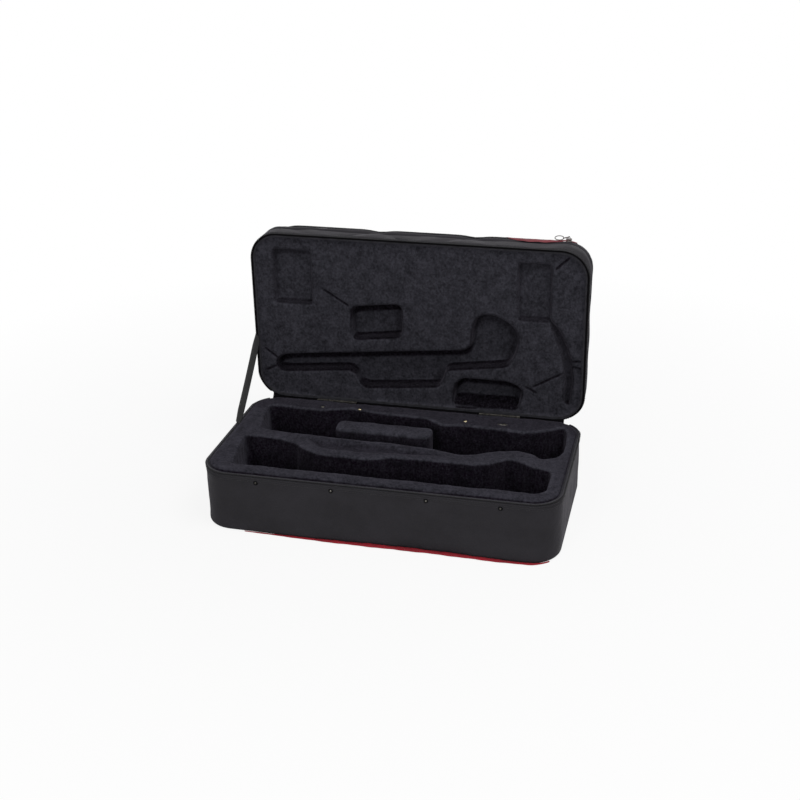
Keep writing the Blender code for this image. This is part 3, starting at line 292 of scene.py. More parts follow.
RED_BAND = make_nylon("red_weave_band", (0.110, 0.026, 0.032), (0.270, 0.066, 0.078), 0.0016)
THREAD = make_nylon("thread", (0.024, 0.024, 0.026), (0.052, 0.052, 0.056), 0.0009)
COIL = make_moulded("zip_coil_nylon", (0.004, 0.004, 0.005), (0.010, 0.010, 0.011), 0.45, 0.62)
BOARD = make_moulded("board", (0.0090, 0.0088, 0.0112), (0.0240, 0.0234, 0.0290), 0.85, 0.98)
RING = make_metal("ring_steel", (0.105, 0.088, 0.084), 0.34, 0.50)
GUNMETAL = make_metal("gunmetal", (0.15, 0.13, 0.125), 0.30, 0.46)
EYELET = make_metal("black_eyelet", (0.012, 0.012, 0.013), 0.45, 0.60)
CHROME = make_metal("chrome", (0.86, 0.86, 0.88), 0.07, 0.20)
STEEL = make_metal("hinge_steel", (0.20, 0.19, 0.17), 0.30, 0.48, (0.05, 0.045, 0.04))
BRASSY = make_metal("rivet_brass", (0.62, 0.52, 0.34), 0.20, 0.40)
BLACK_METAL = make_moulded("black_enamel", (0.010, 0.010, 0.011), (0.022, 0.022, 0.024), 0.22, 0.36, 500, 0.00006, 0.0, 0.4)
GRIP = make_moulded("grip_rubber", (0.010, 0.010, 0.011), (0.022, 0.022, 0.023), 0.50, 0.68, 1500, 0.0002)


# Meshes

def mesh_object(name, verts, faces, material, smooth=True, matrix=None):
    verts = np.asarray(verts, float)
    if matrix is not None:
        m = np.array(matrix)
        verts = verts @ m[:3, :3].T + m[:3, 3]
    mesh = bpy.data.meshes.new(name)
    mesh.from_pydata(verts.tolist(), [], [tuple(int(i) for i in f) for f in faces])
    mesh.validate()
    mesh.update()
    mesh.materials.append(material)
    if smooth:
        mesh.shade_smooth()
    thing = bpy.data.objects.new(name, mesh)
    bpy.context.scene.collection.objects.link(thing)
    return thing


def merge(parts):
    """One list of corners and faces out of several."""
    verts, faces, count = [], [], 0
    for v, f in parts:
        verts.append(np.asarray(v, float))
        faces.extend([tuple(i + count for i in face) for face in f])
        count += len(v)
    return np.concatenate(verts), faces


def ripple(points, wavelength, seed, waves=6):
    """A smooth repeatable wobble between about -1 and 1 at each point."""
    rng = np.random.default_rng(seed)
    heading = rng.normal(size=(waves, points.shape[-1]))
    heading /= np.linalg.norm(heading, axis=1)[:, None]
    turn = 2 * math.pi / wavelength * rng.uniform(0.7, 1.4, waves)
    phase = rng.uniform(0, 2 * math.pi, waves)
    total = np.zeros(points.shape[:-1])
    for h, k, p in zip(heading, turn, phase):
        total += np.sin(k * (points @ h) + p)
    return total / math.sqrt(waves * 2)


def fit(thing, body, slot, *nodes):
    """Puts a piece on its body and hides the CAD nodes that it stands for; slot is not used."""
    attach(thing, body)
    if nodes:
        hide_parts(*nodes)
    return thing


def mark_painted_shade(thing, values):
    """Stores each corner's painted shade in the hollow attribute: positive values darken the colour as painted shade,
    negative ones lighten it as a painted highlight.
    """
    thing.data.attributes.new("hollow", "FLOAT", "POINT").data.foreach_set("value", np.asarray(values, float))


def vertex_normals(thing):
    mesh = thing.data
    mesh.update()
    out = np.empty(len(mesh.vertices) * 3)
    mesh.vertices.foreach_get("normal", out)
    return out.reshape(-1, 3)


def coordinates(thing):
    out = np.empty(len(thing.data.vertices) * 3)
    thing.data.vertices.foreach_get("co", out)
    return out.reshape(-1, 3)


def set_coordinates(thing, co):
    thing.data.vertices.foreach_set("co", co.ravel())
    thing.data.update()


def rumple(thing, amounts, keep=None):
    """Moves each corner along its normal by a few wobbles, each (wavelength, height, seed)."""
    co, normals = coordinates(thing), vertex_normals(thing)
    move = sum(height * ripple(co, length, seed) for length, height, seed in amounts)
    if keep is not None:
        move = move * keep(co)
    set_coordinates(thing, co + normals * move[:, None])


def rim_path(step, inset=0.0, start=None, end=None):
    """Points and outward normals round the case's outline, from the middle of the rear, by its left."""
    hx, hy, r = HX - inset, HY - inset, CORNER_R - inset
    quarter = math.pi * r / 2
    runs = [hx - r, quarter, 2 * (hy - r), quarter, 2 * (hx - r), quarter, 2 * (hy - r), quarter, hx - r]
    total = sum(runs)
    start, end = start or 0.0, total if end is None else end
    count = max(8, int(round((end - start) / step)))
    closed = end - start >= total - 1e-9
    lengths = start + (end - start) * np.arange(count if closed else count + 1) / count
    points, normals = [], []
    centres = ((-hx + r, hy - r), (-hx + r, -hy + r), (hx - r, -hy + r), (hx - r, hy - r))
    for s in lengths:
        index = 0
        while index < 8 and s > runs[index] + 1e-12:
            s -= runs[index]
            index += 1
        if index % 2:
            cx, cy = centres[index // 2]
            angle = math.pi / 2 * (1 + index // 2) + s / r
            n = (math.cos(angle), math.sin(angle))
            points.append((cx + r * n[0], cy + r * n[1]))
            normals.append(n)
        else:
            side = index // 2
            if side == 0:
                points.append((-s, hy)), normals.append((0, 1))
            elif side == 1:
                points.append((-hx, hy - r - s)), normals.append((-1, 0))
            elif side == 2:
                points.append((-hx + r + s, -hy)), normals.append((0, -1))
            elif side == 3:
                points.append((hx, -hy + r + s)), normals.append((1, 0))
            else:
                points.append((hx - r - s, hy)), normals.append((0, 1))
    return np.array(points), np.array(normals), closed


def path_length():
    return 4 * (HX + HY - 2 * CORNER_R) + 2 * math.pi * CORNER_R


def sweep(points, normals, closed, profile, loop=False, shift_y=0.0):
    """A profile of (out, z) pairs carried round a path, as corners and faces."""
    profile = np.asarray(profile, float)
    n, m = len(points), len(profile)
    xy = points[:, None, :] + normals[:, None, :] * profile[None, :, :1]
    z = np.broadcast_to(profile[None, :, 1:], (n, m, 1))
    verts = np.concatenate([xy, z], axis=2).reshape(-1, 3)
    verts[:, 1] += shift_y
    faces = []
    for i in range(n if closed else n - 1):
        a, b = i * m, (i + 1) % n * m
        for j in range(m if loop else m - 1):
            k = (j + 1) % m
            faces.append((a + j, b + j, b + k, a + k))
    if loop and not closed:
        faces.append(tuple(range(m - 1, -1, -1)))
        faces.append(tuple((n - 1) * m + j for j in range(m)))
    return verts, faces


def tube(points, radius, sides=8, closed=False, flat=1.0, up=(0, 0, 1)):
    """A round bar along points. radius is one number or one for each point; flat squashes it along up."""
    points = np.asarray(points, float)
    n = len(points)
    radius = np.broadcast_to(np.asarray(radius, float), (n,))
    if closed:
        tangent = np.roll(points, -1, 0) - np.roll(points, 1, 0)
    else:
        tangent = np.gradient(points, axis=0)
    tangent /= np.linalg.norm(tangent, axis=1)[:, None]
    side = np.cross(tangent, np.asarray(up, float))
    side /= np.linalg.norm(side, axis=1)[:, None]
    rise = np.cross(side, tangent)
    verts = []
    for j in range(sides):
        a = 2 * math.pi * j / sides
        verts.append(points + radius[:, None] * (side * math.cos(a) + rise * math.sin(a) * flat))
    verts = np.stack(verts, 1).reshape(-1, 3)
    faces = []
    for i in range(n if closed else n - 1):
        a, b = i * sides, (i + 1) % n * sides
        for j in range(sides):
            k = (j + 1) % sides
            faces.append((a + j, b + j, b + k, a + k))
    if not closed:
        faces.append(tuple(range(sides - 1, -1, -1)))
        faces.append(tuple((n - 1) * sides + j for j in range(sides)))
    return verts, faces


def turned(profile, centre, direction, sides=28):
    """A profile of (radius, height) pairs turned about an axis."""
    turn = Vector(direction).to_track_quat("Z", "Y").to_matrix()
    verts, faces = [], []
    for r, h in profile:
        for j in range(sides):
            a = 2 * math.pi * j / sides
            verts.append(Vector(centre) + turn @ Vector((r * math.cos(a), r * math.sin(a), h)))
    for i in range(len(profile) - 1):
        for j in range(sides):
            k = (j + 1) % sides
            faces.append((i * sides + j, i * sides + k, (i + 1) * sides + k, (i + 1) * sides + j))
    faces.append(tuple(range(sides - 1, -1, -1)))
    faces.append(tuple((len(profile) - 1) * sides + j for j in range(sides)))
    return [tuple(v) for v in verts], faces


def stitches(points, normals, pitch=0.0042, length=0.0030, radius=0.00034, lift=0.0002):
    """A row of thread stitches along a line of 3-D points, standing on a surface with these normals."""
    points, normals = np.asarray(points, float), np.asarray(normals, float)
    gaps = np.linalg.norm(np.diff(points, axis=0), axis=1)
    reach = np.concatenate([[0], np.cumsum(gaps)])
    starts = np.arange(pitch * 0.3, reach[-1] - length, pitch)
    parts = []
    share = np.array((0.0, 0.12, 0.5, 0.88, 1.0))
    girth = np.array((0.15, 0.85, 1.0, 0.85, 0.15)) * radius
    arch = np.array((-0.6, 0.2, 1.0, 0.2, -0.6)) * radius
    for s in starts:
        at = s + share * length
        line = np.stack([np.interp(at, reach, points[:, i]) for i in range(3)], 1)
        up = np.stack([np.interp(at, reach, normals[:, i]) for i in range(3)], 1)
        up /= np.linalg.norm(up, axis=1)[:, None]
        along = line[-1] - line[0]
        along /= np.linalg.norm(along)
        side = np.cross(along, up[2])
        side /= np.linalg.norm(side)
        verts = []
        for p, u, g, h in zip(line, up, girth, arch):
            for j in range(5):
                a = 2 * math.pi * j / 5
                verts.append(p + u * (lift + h + g * math.sin(a)) + side * g * math.cos(a))
        faces = [(i * 5 + j, (i + 1) * 5 + j, (i + 1) * 5 + (j + 1) % 5, i * 5 + (j + 1) % 5)
                 for i in range(4) for j in range(5)]
        faces += [(0, 1, 2, 3, 4), (24, 23, 22, 21, 20)]
        parts.append((verts, faces))
    return merge(parts)


# Distance fields, for the padded linings

def smooth_outline(shares, softness, lid=False, spacing=0.002):
    """A closed outline in metres, its corners rounded over about the given length."""
    corners = np.array([(x * LENGTH, y * DEPTH + (HY if lid else 0)) for x, y in shares])
    around = np.vstack([corners, corners[:1]])
    gaps = np.linalg.norm(np.diff(around, axis=0), axis=1)
    reach = np.concatenate([[0], np.cumsum(gaps)])
    count = int(reach[-1] / spacing)
    at = np.arange(count) * reach[-1] / count
    points = np.stack([np.interp(at, reach, around[:, i]) for i in range(2)], 1)
    spread = softness / (reach[-1] / count)
    offsets = np.arange(count)
    offsets = np.minimum(offsets, count - offsets)
    kernel = np.exp(-0.5 * (offsets / max(spread, 0.01)) ** 2)
    kernel /= kernel.sum()
    smoothed = [np.real(np.fft.ifft(np.fft.fft(points[:, i]) * np.fft.fft(kernel))) for i in range(2)]
    return np.stack(smoothed, 1)


def outline_distance(X, Y, outline):
    """Signed distance from each grid point to a closed outline, negative inside."""
    nearest = np.full(X.shape, 1e9)
    inside = np.zeros(X.shape, bool)
    for (x1, y1), (x2, y2) in zip(outline, np.roll(outline, -1, 0)):
        dx, dy = x2 - x1, y2 - y1
        t = np.clip(((X - x1) * dx + (Y - y1) * dy) / (dx * dx + dy * dy + 1e-18), 0, 1)
        nearest = np.minimum(nearest, (X - x1 - t * dx) ** 2 + (Y - y1 - t * dy) ** 2)
        if y1 != y2:
            inside ^= ((y1 > Y) != (y2 > Y)) & (X < (x2 - x1) * (Y - y1) / (y2 - y1) + x1)
    return np.sqrt(nearest) * np.where(inside, -1, 1)


def box_distance(X, Y, cx, cy, hx, hy, r):
    qx, qy = np.abs(X - cx) - hx + r, np.abs(Y - cy) - hy + r
    return np.hypot(np.maximum(qx, 0), np.maximum(qy, 0)) + np.minimum(np.maximum(qx, qy), 0) - r


def round_both(a, b, r):
    """Inside both fields, their shared edge rounded by r."""
    return np.minimum(np.maximum(a, b), -r) + np.hypot(np.maximum(a + r, 0), np.maximum(b + r, 0))


def fade(value, low, high):
    t = np.clip((value - low) / (high - low), 0, 1)
    return t * t * (3 - 2 * t)


def surface(field, origin, step):
    """Corners and square faces on the zero level of a sampled field, negative inside."""
    inside = field < 0
    shape = np.array(field.shape) - 1

    def corner(a, c):
        return a[c[0]:c[0] + shape[0], c[1]:c[1] + shape[1], c[2]:c[2] + shape[2]]

    spots = [(i, j, k) for i in (0, 1) for j in (0, 1) for k in (0, 1)]
    total = sum(corner(inside, c).astype(np.int8) for c in spots)
    active = (total > 0) & (total < 8)
    index = np.full(active.shape, -1, int)
    index[active] = np.arange(int(active.sum()))
    cells = np.argwhere(active).astype(float)
    place, hits = np.zeros((len(cells), 3)), np.zeros(len(cells))
    for a in spots:
        for axis in range(3):
            if a[axis]:
                continue
            b = tuple(v + (1 if i == axis else 0) for i, v in enumerate(a))
            fa, fb = corner(field, a)[active], corner(field, b)[active]
            cross = (fa < 0) != (fb < 0)
            t = np.zeros(len(cells))
            t[cross] = fa[cross] / (fa[cross] - fb[cross])
            spot = np.tile(np.array(a, float), (len(cells), 1))
            spot[:, axis] += t
            place[cross] += spot[cross]
            hits[cross] += 1
    verts = np.asarray(origin) + step * (cells + place / hits[:, None])
    quads = []
    for axis in range(3):
        u, v = (axis + 1) % 3, (axis + 2) % 3
        low = [slice(None)] * 3
        high = [slice(None)] * 3
        low[axis], high[axis] = slice(0, -1), slice(1, None)
        start, end = inside[tuple(low)], inside[tuple(high)]
        spots_here = np.argwhere(start != end)
        keep = np.ones(len(spots_here), bool)
        for other in (u, v):
            keep &= (spots_here[:, other] > 0) & (spots_here[:, other] < field.shape[other] - 1)
        spots_here = spots_here[keep]
        outward = start[tuple(spots_here.T)]

        def cell(du, dv):
            at = spots_here.copy()
            at[:, u] += du
            at[:, v] += dv
            return index[tuple(at.T)]

        square = np.stack([cell(-1, -1), cell(0, -1), cell(0, 0), cell(-1, 0)], 1)
        square[~outward] = square[~outward][:, ::-1]
        quads.append(square)
    return verts, np.concatenate(quads)


def relax(verts, quads, rounds=2, share=0.5):
    """Evens out the little steps that sampling leaves."""
    edges = np.concatenate([quads[:, [0, 1]], quads[:, [1, 2]], quads[:, [2, 3]], quads[:, [3, 0]]])
    for _ in range(rounds):
        total = np.zeros_like(verts)
        count = np.zeros(len(verts))
        for a, b in ((0, 1), (1, 0)):
            np.add.at(total, edges[:, a], verts[edges[:, b]])
            np.add.at(count, edges[:, a], 1)
        mean = total / np.maximum(count, 1)[:, None]
        verts = verts + (mean - verts) * share
    return verts


def only(verts, quads, keep):
    """Keeps the faces that the test says, and the corners they use."""
    quads = quads[keep]
    used = np.unique(quads)
    renumber = np.full(len(verts), -1)
    renumber[used] = np.arange(len(used))
    return verts[used], renumber[quads]


def grid(low, high, step):
    axes = [np.arange(a, b + step, step) for a, b in zip(low, high)]
    return np.meshgrid(*axes, indexing="ij"), np.array(low)


def bell(X, Y, cx, cy, sx, sy, degrees=0.0):
    a = math.radians(degrees)
    u = (X - cx) * math.cos(a) + (Y - cy) * math.sin(a)
    v = -(X - cx) * math.sin(a) + (Y - cy) * math.cos(a)
    return np.exp(-0.5 * ((u / sx) ** 2 + (v / sy) ** 2))


def sample(field, origin, step, x, y):
    """A flat field's value at each (x, y), between its four nearest grid points."""
    u = np.clip((x - origin[0]) / step, 0, field.shape[0] - 1.001)
    v = np.clip((y - origin[1]) / step, 0, field.shape[1] - 1.001)
    i, j = u.astype(int), v.astype(int)
    u, v = u - i, v - j
    return (field[i, j] * (1 - u) * (1 - v) + field[i + 1, j] * u * (1 - v) + field[i, j + 1] * (1 - u) * v
            + field[i + 1, j + 1] * u * v)


def crease(X, Y, start, end, width):
    """A soft line from start to end that fades at both ends, 0 to 1."""
    (x1, y1), (x2, y2) = start, end
    dx, dy = x2 - x1, y2 - y1
    t = np.clip(((X - x1) * dx + (Y - y1) * dy) / (dx * dx + dy * dy), 0, 1)
    away = np.hypot(X - x1 - t * dx, Y - y1 - t * dy)
    return np.exp(-0.5 * (away / width) ** 2) * fade(np.minimum(t, 1 - t), -0.02, 0.25)


def base_lining():
    step = 0.0022
    (X, Y, Z), origin = grid((-0.2935, -0.1535, 0.0055), (0.2935, 0.1565, 0.1165), step)
    x, y = X[:, :, 0], Y[:, :, 0]
    flat = np.stack([x, y], 2)
    space = np.stack([X, Y, Z], 3)
    body = box_distance(x, y, 0, 0, HX - PLUSH_IN, HY - PLUSH_IN, CORNER_R - PLUSH_IN)
    outlines = [smooth_outline(shares, 0.0035) for shares in (FRONT_WELL, REAR_WELL)]
    front, rear = (outline_distance(x, y, outline) for outline in outlines)
    scoop = outline_distance(x, y, smooth_outline(SCOOP, 0.008))
    top = np.full(x.shape, TONGUE_TOP - 0.0004)
    top -= 0.0080 * fade(-scoop, -0.006, 0.012)
    top += 0.0007 * ripple(flat, 0.085, 3) + 0.00035 * ripple(flat, 0.028, 4)
    lump = bell(x, y, 0.214, -0.004, 0.019, 0.014, 25)
    top += lump * (0.0008 + 0.0012 * ripple(flat, 0.015, 9))
    leaf = fade(np.abs(np.abs(x) - 0.1365), 0.062, 0.050) * fade(y, 0.084, 0.096) * fade(0.1440 - y, 0.0, 0.006)
    top += 0.0014 * leaf
    for px, py in RIVETS:
        top -= 0.0016 * bell(x, y, px, py, 0.0042, 0.0042)
    top = top[:, :, None]
    sag = np.clip(TONGUE_TOP - Z, 0, 1)
    pleats = 0.0008 * ripple(space * np.array((1, 1, 0.16)), 0.017, 11) * fade(sag, 0.004, 0.03)
    field = round_both(body[:, :, None], Z - top, 0.0090)
    rear_edge = box_distance(x, y, 0, HY - 0.0190, HX - 0.0300, 0.0170, 0.006)
    field = np.minimum(field, round_both(rear_edge[:, :, None], Z - 0.1068 - 0.3 * (top - TONGUE_TOP), 0.0030))
    for well in (front, rear):
        hollow = round_both(well[:, :, None] + 0.030 * sag + pleats, WELL_FLOOR + 0.0006 - Z, 0.012)
        field = round_both(field, -hollow, 0.0034)
    verts, quads = surface(field, origin, step)
    verts = relax(verts, quads, 2)
    centre = verts[quads].mean(1)
    edge = box_distance(centre[:, 0], centre[:, 1], 0, 0, HX - PLUSH_IN, HY - PLUSH_IN, CORNER_R - PLUSH_IN)
    verts, quads = only(verts, quads, ~((edge > -0.0025) & (centre[:, 2] < 0.1035)))
    thing = fit(mesh_object("base_plush_lining", verts, quads, PLUSH), "base", "plush", "base_insert")
    # Painted light on the base's plush, stored as hollow for the colour: painted shade in the wells and at the lining's
    # outer foot, around the outer rivets, in the scoop and along the rear strip, a painted highlight along the wells'
    # lips, and the tops a flat 0.20 darker
    vx, vy, depth = verts[:, 0], verts[:, 1], TONGUE_TOP - verts[:, 2]
    near = sample(np.minimum(front, rear), origin, step, vx, vy)
    edge = box_distance(vx, vy, 0, 0, HX - PLUSH_IN, HY - PLUSH_IN, CORNER_R - PLUSH_IN)
    # Painted shade on the lining's outer foot below the rim, which gives the dark line at its edge
    painted_foot_shade = fade(edge, -0.004, -0.0015) * fade(depth, 0.0012, 0.0032) * (vy < 0.13)
    # Painted shade in the scoop; two lines down, more painted shade along the rear strip
    painted_dip_shade = 0.42 * fade(-sample(scoop, origin, step, vx, vy), -0.004, 0.008)
    # Painted highlight along the wells' lips
    lip = np.exp(-0.5 * ((near - 0.0024) / 0.0018) ** 2)
    painted_dip_shade = np.maximum(painted_dip_shade, 0.40 * fade(vy, 0.085, 0.100) * fade(near, 0.0035, 0.0065) * fade(0.1460 - vy, 0.0, 0.004))
    # Painted shade in the wells, less of it on the walls that face the key light on the right
    lit = fade(vertex_normals(thing)[:, 0], 0.70, 0.94) * fade(-vx, 0.205, 0.225)
    well = fade(0.0012 - near, 0.0, 0.0012) * (1 - 0.85 * lit)
    # Painted shade around the two outer rivets
    for px, py in RIVETS[2:]:
        painted_foot_shade = np.maximum(painted_foot_shade, 0.75 * bell(vx, vy, px, py, 0.0090, 0.0045))
    mark_painted_shade(thing, np.maximum(np.maximum(well, painted_foot_shade), 0.20 + painted_dip_shade - 0.75 * lip))


def well_block():
    low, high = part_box("rear_well_block")
    step = 0.002
    (X, Y, Z), origin = grid((low.x - 0.004, low.y - 0.004, low.z + 0.001), (high.x + 0.004, high.y + 0.004, high.z + 0.004), step)
    cx, cy = (low.x + high.x) / 2, (low.y + high.y) / 2
    flat = np.stack([X, Y, Z], 3)
    side = box_distance(X, Y, cx, cy, (high.x - low.x) / 2, (high.y - low.y) / 2, 0.011)
    side = side + 0.0004 * ripple(flat * np.array((1, 1, 0.2)), 0.02, 21)
    crown = Z - high.z - 0.0016 + 0.0008 * (1 - bell(X, Y, cx, cy, 0.06, 0.013)) + 0.0004 * ripple(flat, 0.03, 22)
    field = round_both(side, crown, 0.0040)
    verts, quads = surface(field, origin, step)
    verts = relax(verts, quads, 2)
    thing = fit(mesh_object("block_plush", verts, quads, PLUSH), "base", "plush", "rear_well_block")
    # Painted shade down the block's sides, stored as hollow
    mark_painted_shade(thing, fade(high.z - verts[:, 2], 0.0015, 0.0060) * 0.85)


def lid_lining():
    step = 0.0016
    (X, Y, Z), origin = grid((-0.2945, 0.0005, -0.003), (0.2945, 0.3095, 0.0322), step)
    x, y = X[:, :, 0], Y[:, :, 0]
    flat = np.stack([x, y], 2)
    body = box_distance(x, y, 0, HY, HX - LID_PLUSH_IN, HY - LID_PLUSH_IN, CORNER_R - LID_PLUSH_IN)
    panel = np.full(x.shape, PANEL_Z + 0.0006)
    panel -= 0.0017 * fade(np.abs(np.abs(x) - 0.1485), 0.046, 0.038) * (1 - fade(y, 0.026, 0.034))
    panel -= 0.0006 * ripple(flat, 0.11, 31) + 0.0003 * ripple(flat, 0.03, 32)
    hinge = fade(np.abs(np.abs(x) - 0.1485), 0.046, 0.038) * (1 - fade(y, 0.026, 0.034))
    panel -= 0.0048 * fade(body, -0.0052, -0.0018) * (1 - hinge)
    for start, end, deep in CREASES:
        panel += deep * (1.2 * crease(x, y - HY, start, end, 0.0018) - 0.40 * crease(x, y - HY, start, end, 0.0055))
    panel = panel[:, :, None]
    field = round_both(body[:, :, None], panel - Z, 0.0028)
    recesses = ((LEFT_POUCH, 0.0045, 0.0150, 0.0060), (RIGHT_POUCH, 0.0045, 0.0150, 0.0060),
                (MIDDLE_POUCH, 0.0045, RECESS_DEPTH, 0.0050), (TROUGH, 0.0060, RECESS_DEPTH, 0.0055),
                (LOWER_POUCH, 0.0040, RECESS_DEPTH, 0.0050), (RIM_SLOT, 0.0050, 0.013, 0.0070))
    space = np.stack([X, Y, Z], 3)
    wave = 0.0004 * ripple(space, 0.02, 33)
    edges = [outline_distance(x, y, smooth_outline(shares, soft, lid=True)) for shares, soft, _, _ in recesses]
    for number, (_, _, deep, lip) in enumerate(recesses):
        edge = edges[number][:, :, None]
        slope = 0.12 * np.clip(Z - PANEL_Z, 0, 1)
        if number == 4:
            edge = np.maximum(edge, (0.0115 - Y) * 0.92 + 0.40 * np.clip(Z - PANEL_Z, 0, 1))
        hollow = round_both(edge + slope + wave, Z - (PANEL_Z + deep), 0.006)
        field = round_both(field, -hollow, lip)
    verts, quads = surface(field, origin, step)
    verts = relax(verts, quads, 2)
    centre = verts[quads].mean(1)
    edge = box_distance(centre[:, 0], centre[:, 1], 0, HY, HX - LID_PLUSH_IN, HY - LID_PLUSH_IN, CORNER_R - LID_PLUSH_IN)
    verts, quads = only(verts, quads, ~((edge > -0.002) & (centre[:, 2] > 0.0105)))
    vx, vy = verts[:, 0], verts[:, 1]
    nearest = np.min(edges, axis=0)
    _, rise = np.gradient(nearest, step)
    near, rise = sample(nearest, origin, step, vx, vy), sample(rise, origin, step, vx, vy)
    faint = sample((np.minimum(edges[0], edges[1]) < 0.012).astype(float), origin, step, vx, vy)
    # Painted light on the lid's plush, stored as hollow for the colour: the recess floors a little lighter as painted
    # light, a painted shadow below each recess's top lip and to the right of the bowl, softer in the two side pouches,
    # and painted shade on the recess walls
    floor = fade(-near, 0.003, 0.008)
    above = sample(nearest, origin, step, vx, vy + 0.0185 - 0.0065 * faint)
    beside = sample(nearest, origin, step, vx + 0.0150, vy + 0.006)
    bowl = fade(vx, 0.080, 0.105) * fade(vy, 0.110, 0.125)
    under = np.maximum(fade(above, -0.0015 - 0.005 * bowl, 0.0040) * (1.12 - 0.50 * bowl),
                       0.50 * (1 - faint) * fade(beside, -0.006, 0.004)) * fade(0.0036 - near, 0.0, 0.0030)
    shade = fade(0.0018 - near, 0.0, 0.0016) * (1 - floor) * 0.35 - 0.16 * floor
    shade = np.maximum(shade, under * (1.0 - 0.55 * faint))
    # Painted highlight on the lip below each recess
    shade -= 0.40 * fade(-rise, 0.4, 0.9) * np.exp(-0.5 * ((near - 0.0045) / 0.0020) ** 2)
    # Painted shade along the creases
    for start, end, deep in CREASES:
        line = fade(crease(vx, vy - HY, start, end, 0.0017), 0.20, 0.70)
        shade = np.maximum(shade, 0.95 * line * fade(near, 0.001, 0.003))
    verts = verts * np.array((1, -1, 1))
    quads = quads[:, ::-1]
    thing = mesh_object("lid_plush_lining", verts, quads, LID_PLUSH, matrix=LID)
    fit(thing, "lid", "plush", "lid_insert")
    # Painted shade on the up-facing ledges at the bottom of the recesses
    ledge = fade(vertex_normals(thing)[:, 2], 0.34, 0.66) * fade(0.0030 - near, 0.0, 0.0020)
    mark_painted_shade(thing, np.maximum(shade, (1.15 - 0.40 * faint) * ledge))


# Outer covers

def arc_profile(cx, cz, r, start, end, steps):
    angles = np.radians(np.linspace(start, end, steps))
    return [(cx + r * math.cos(a), cz + r * math.sin(a)) for a in angles]


def foot_bulge(x):
    """How far the soft bottom edge swells forward along the front."""
    return 0.0024 * np.exp(-0.5 * ((x + 0.090) / 0.075) ** 2) + 0.0042 * np.exp(-0.5 * ((x - 0.215) / 0.060) ** 2)


def base_skin():
    points, normals, closed = rim_path(0.0045)
    r = 0.007
    profile = [(-0.044, 0.0), (-0.030, 0.0), (-0.018, 0.0), (-0.011, 0.0)]
    profile += arc_profile(-r, r, r, -90, 0, 7)
    profile += [(0, z) for z in np.linspace(0.010, 0.0955, 22)]
    profile += [(-0.0002, 0.0972), (-0.0010, 0.0982), (-0.0010, 0.0990), (-0.0002, 0.0998), (-0.0002, 0.1020),
                (-0.0008, 0.1027), (-0.0016, 0.1024), (-0.0016, 0.0960)]
    verts, faces = sweep(points, normals, closed, profile)
    m = len(profile)
    faces.append(tuple(i * m for i in range(len(points)))[::-1])
    thing = mesh_object("base_skin", verts, faces, NYLON)
    co, n = coordinates(thing), vertex_normals(thing)
    high = fade(co[:, 2], 0.003, 0.020) * (1 - fade(co[:, 2], 0.080, 0.096))
    move = high * (0.0011 * ripple(co, 0.150, 41) + 0.0006 * ripple(co, 0.060, 42) + 0.00015 * ripple(co, 0.020, 43))
    front = fade(-co[:, 1], 0.150, 0.1545)
    move += front * bell(co[:, 0], co[:, 2], 0.150, 0.050, 0.060, 0.020) * 0.0008
    co += n * move[:, None]
    low = 1 - fade(co[:, 2], 0.004, 0.050)
    out = foot_bulge(co[:, 0]) * low * fade(-co[:, 1], 0.100, 0.150)
    co[:, 1] -= out
    co[:, 2] = np.maximum(co[:, 2], 0.0)
    set_coordinates(thing, co)
    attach(thing, "base")
    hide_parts("base_cover")

    band = [(-0.0004, 0.0990)] + arc_profile(-0.0006, 0.1008, 0.0013, -70, 70, 6) + [(-0.0004, 0.1026), (-0.0016, 0.1030)]
    points, normals, closed = rim_path(0.004)
    verts, faces = sweep(points, normals, closed, band)
    thing = fit(mesh_object("base_binding", verts, faces, NYLON), "base", "nylon_cover")
    rumple(thing, ((0.05, 0.00015, 51), (0.012, 0.00008, 52)))

    rows = []
    for z in (0.1004, 0.0946):
        line = np.column_stack([points + normals * (0.0006 if z > 0.099 else 0.0), np.full(len(points), z)])
        up = np.column_stack([normals, np.zeros(len(points))])
        line, up = np.vstack([line, line[:1]]), np.vstack([up, up[:1]])
        rows.append(stitches(line, up, lift=0.0003))
    verts, faces = merge(rows)
    thing = mesh_object("base_stitching", verts, faces, THREAD)
    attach(thing, "base")


def corner_swell(x, y):
    """The lid's top right corner is fuller than the others."""
    return 0.0030 * bell(x, y, HX - 0.012, -DEPTH + 0.012, 0.030, 0.030)


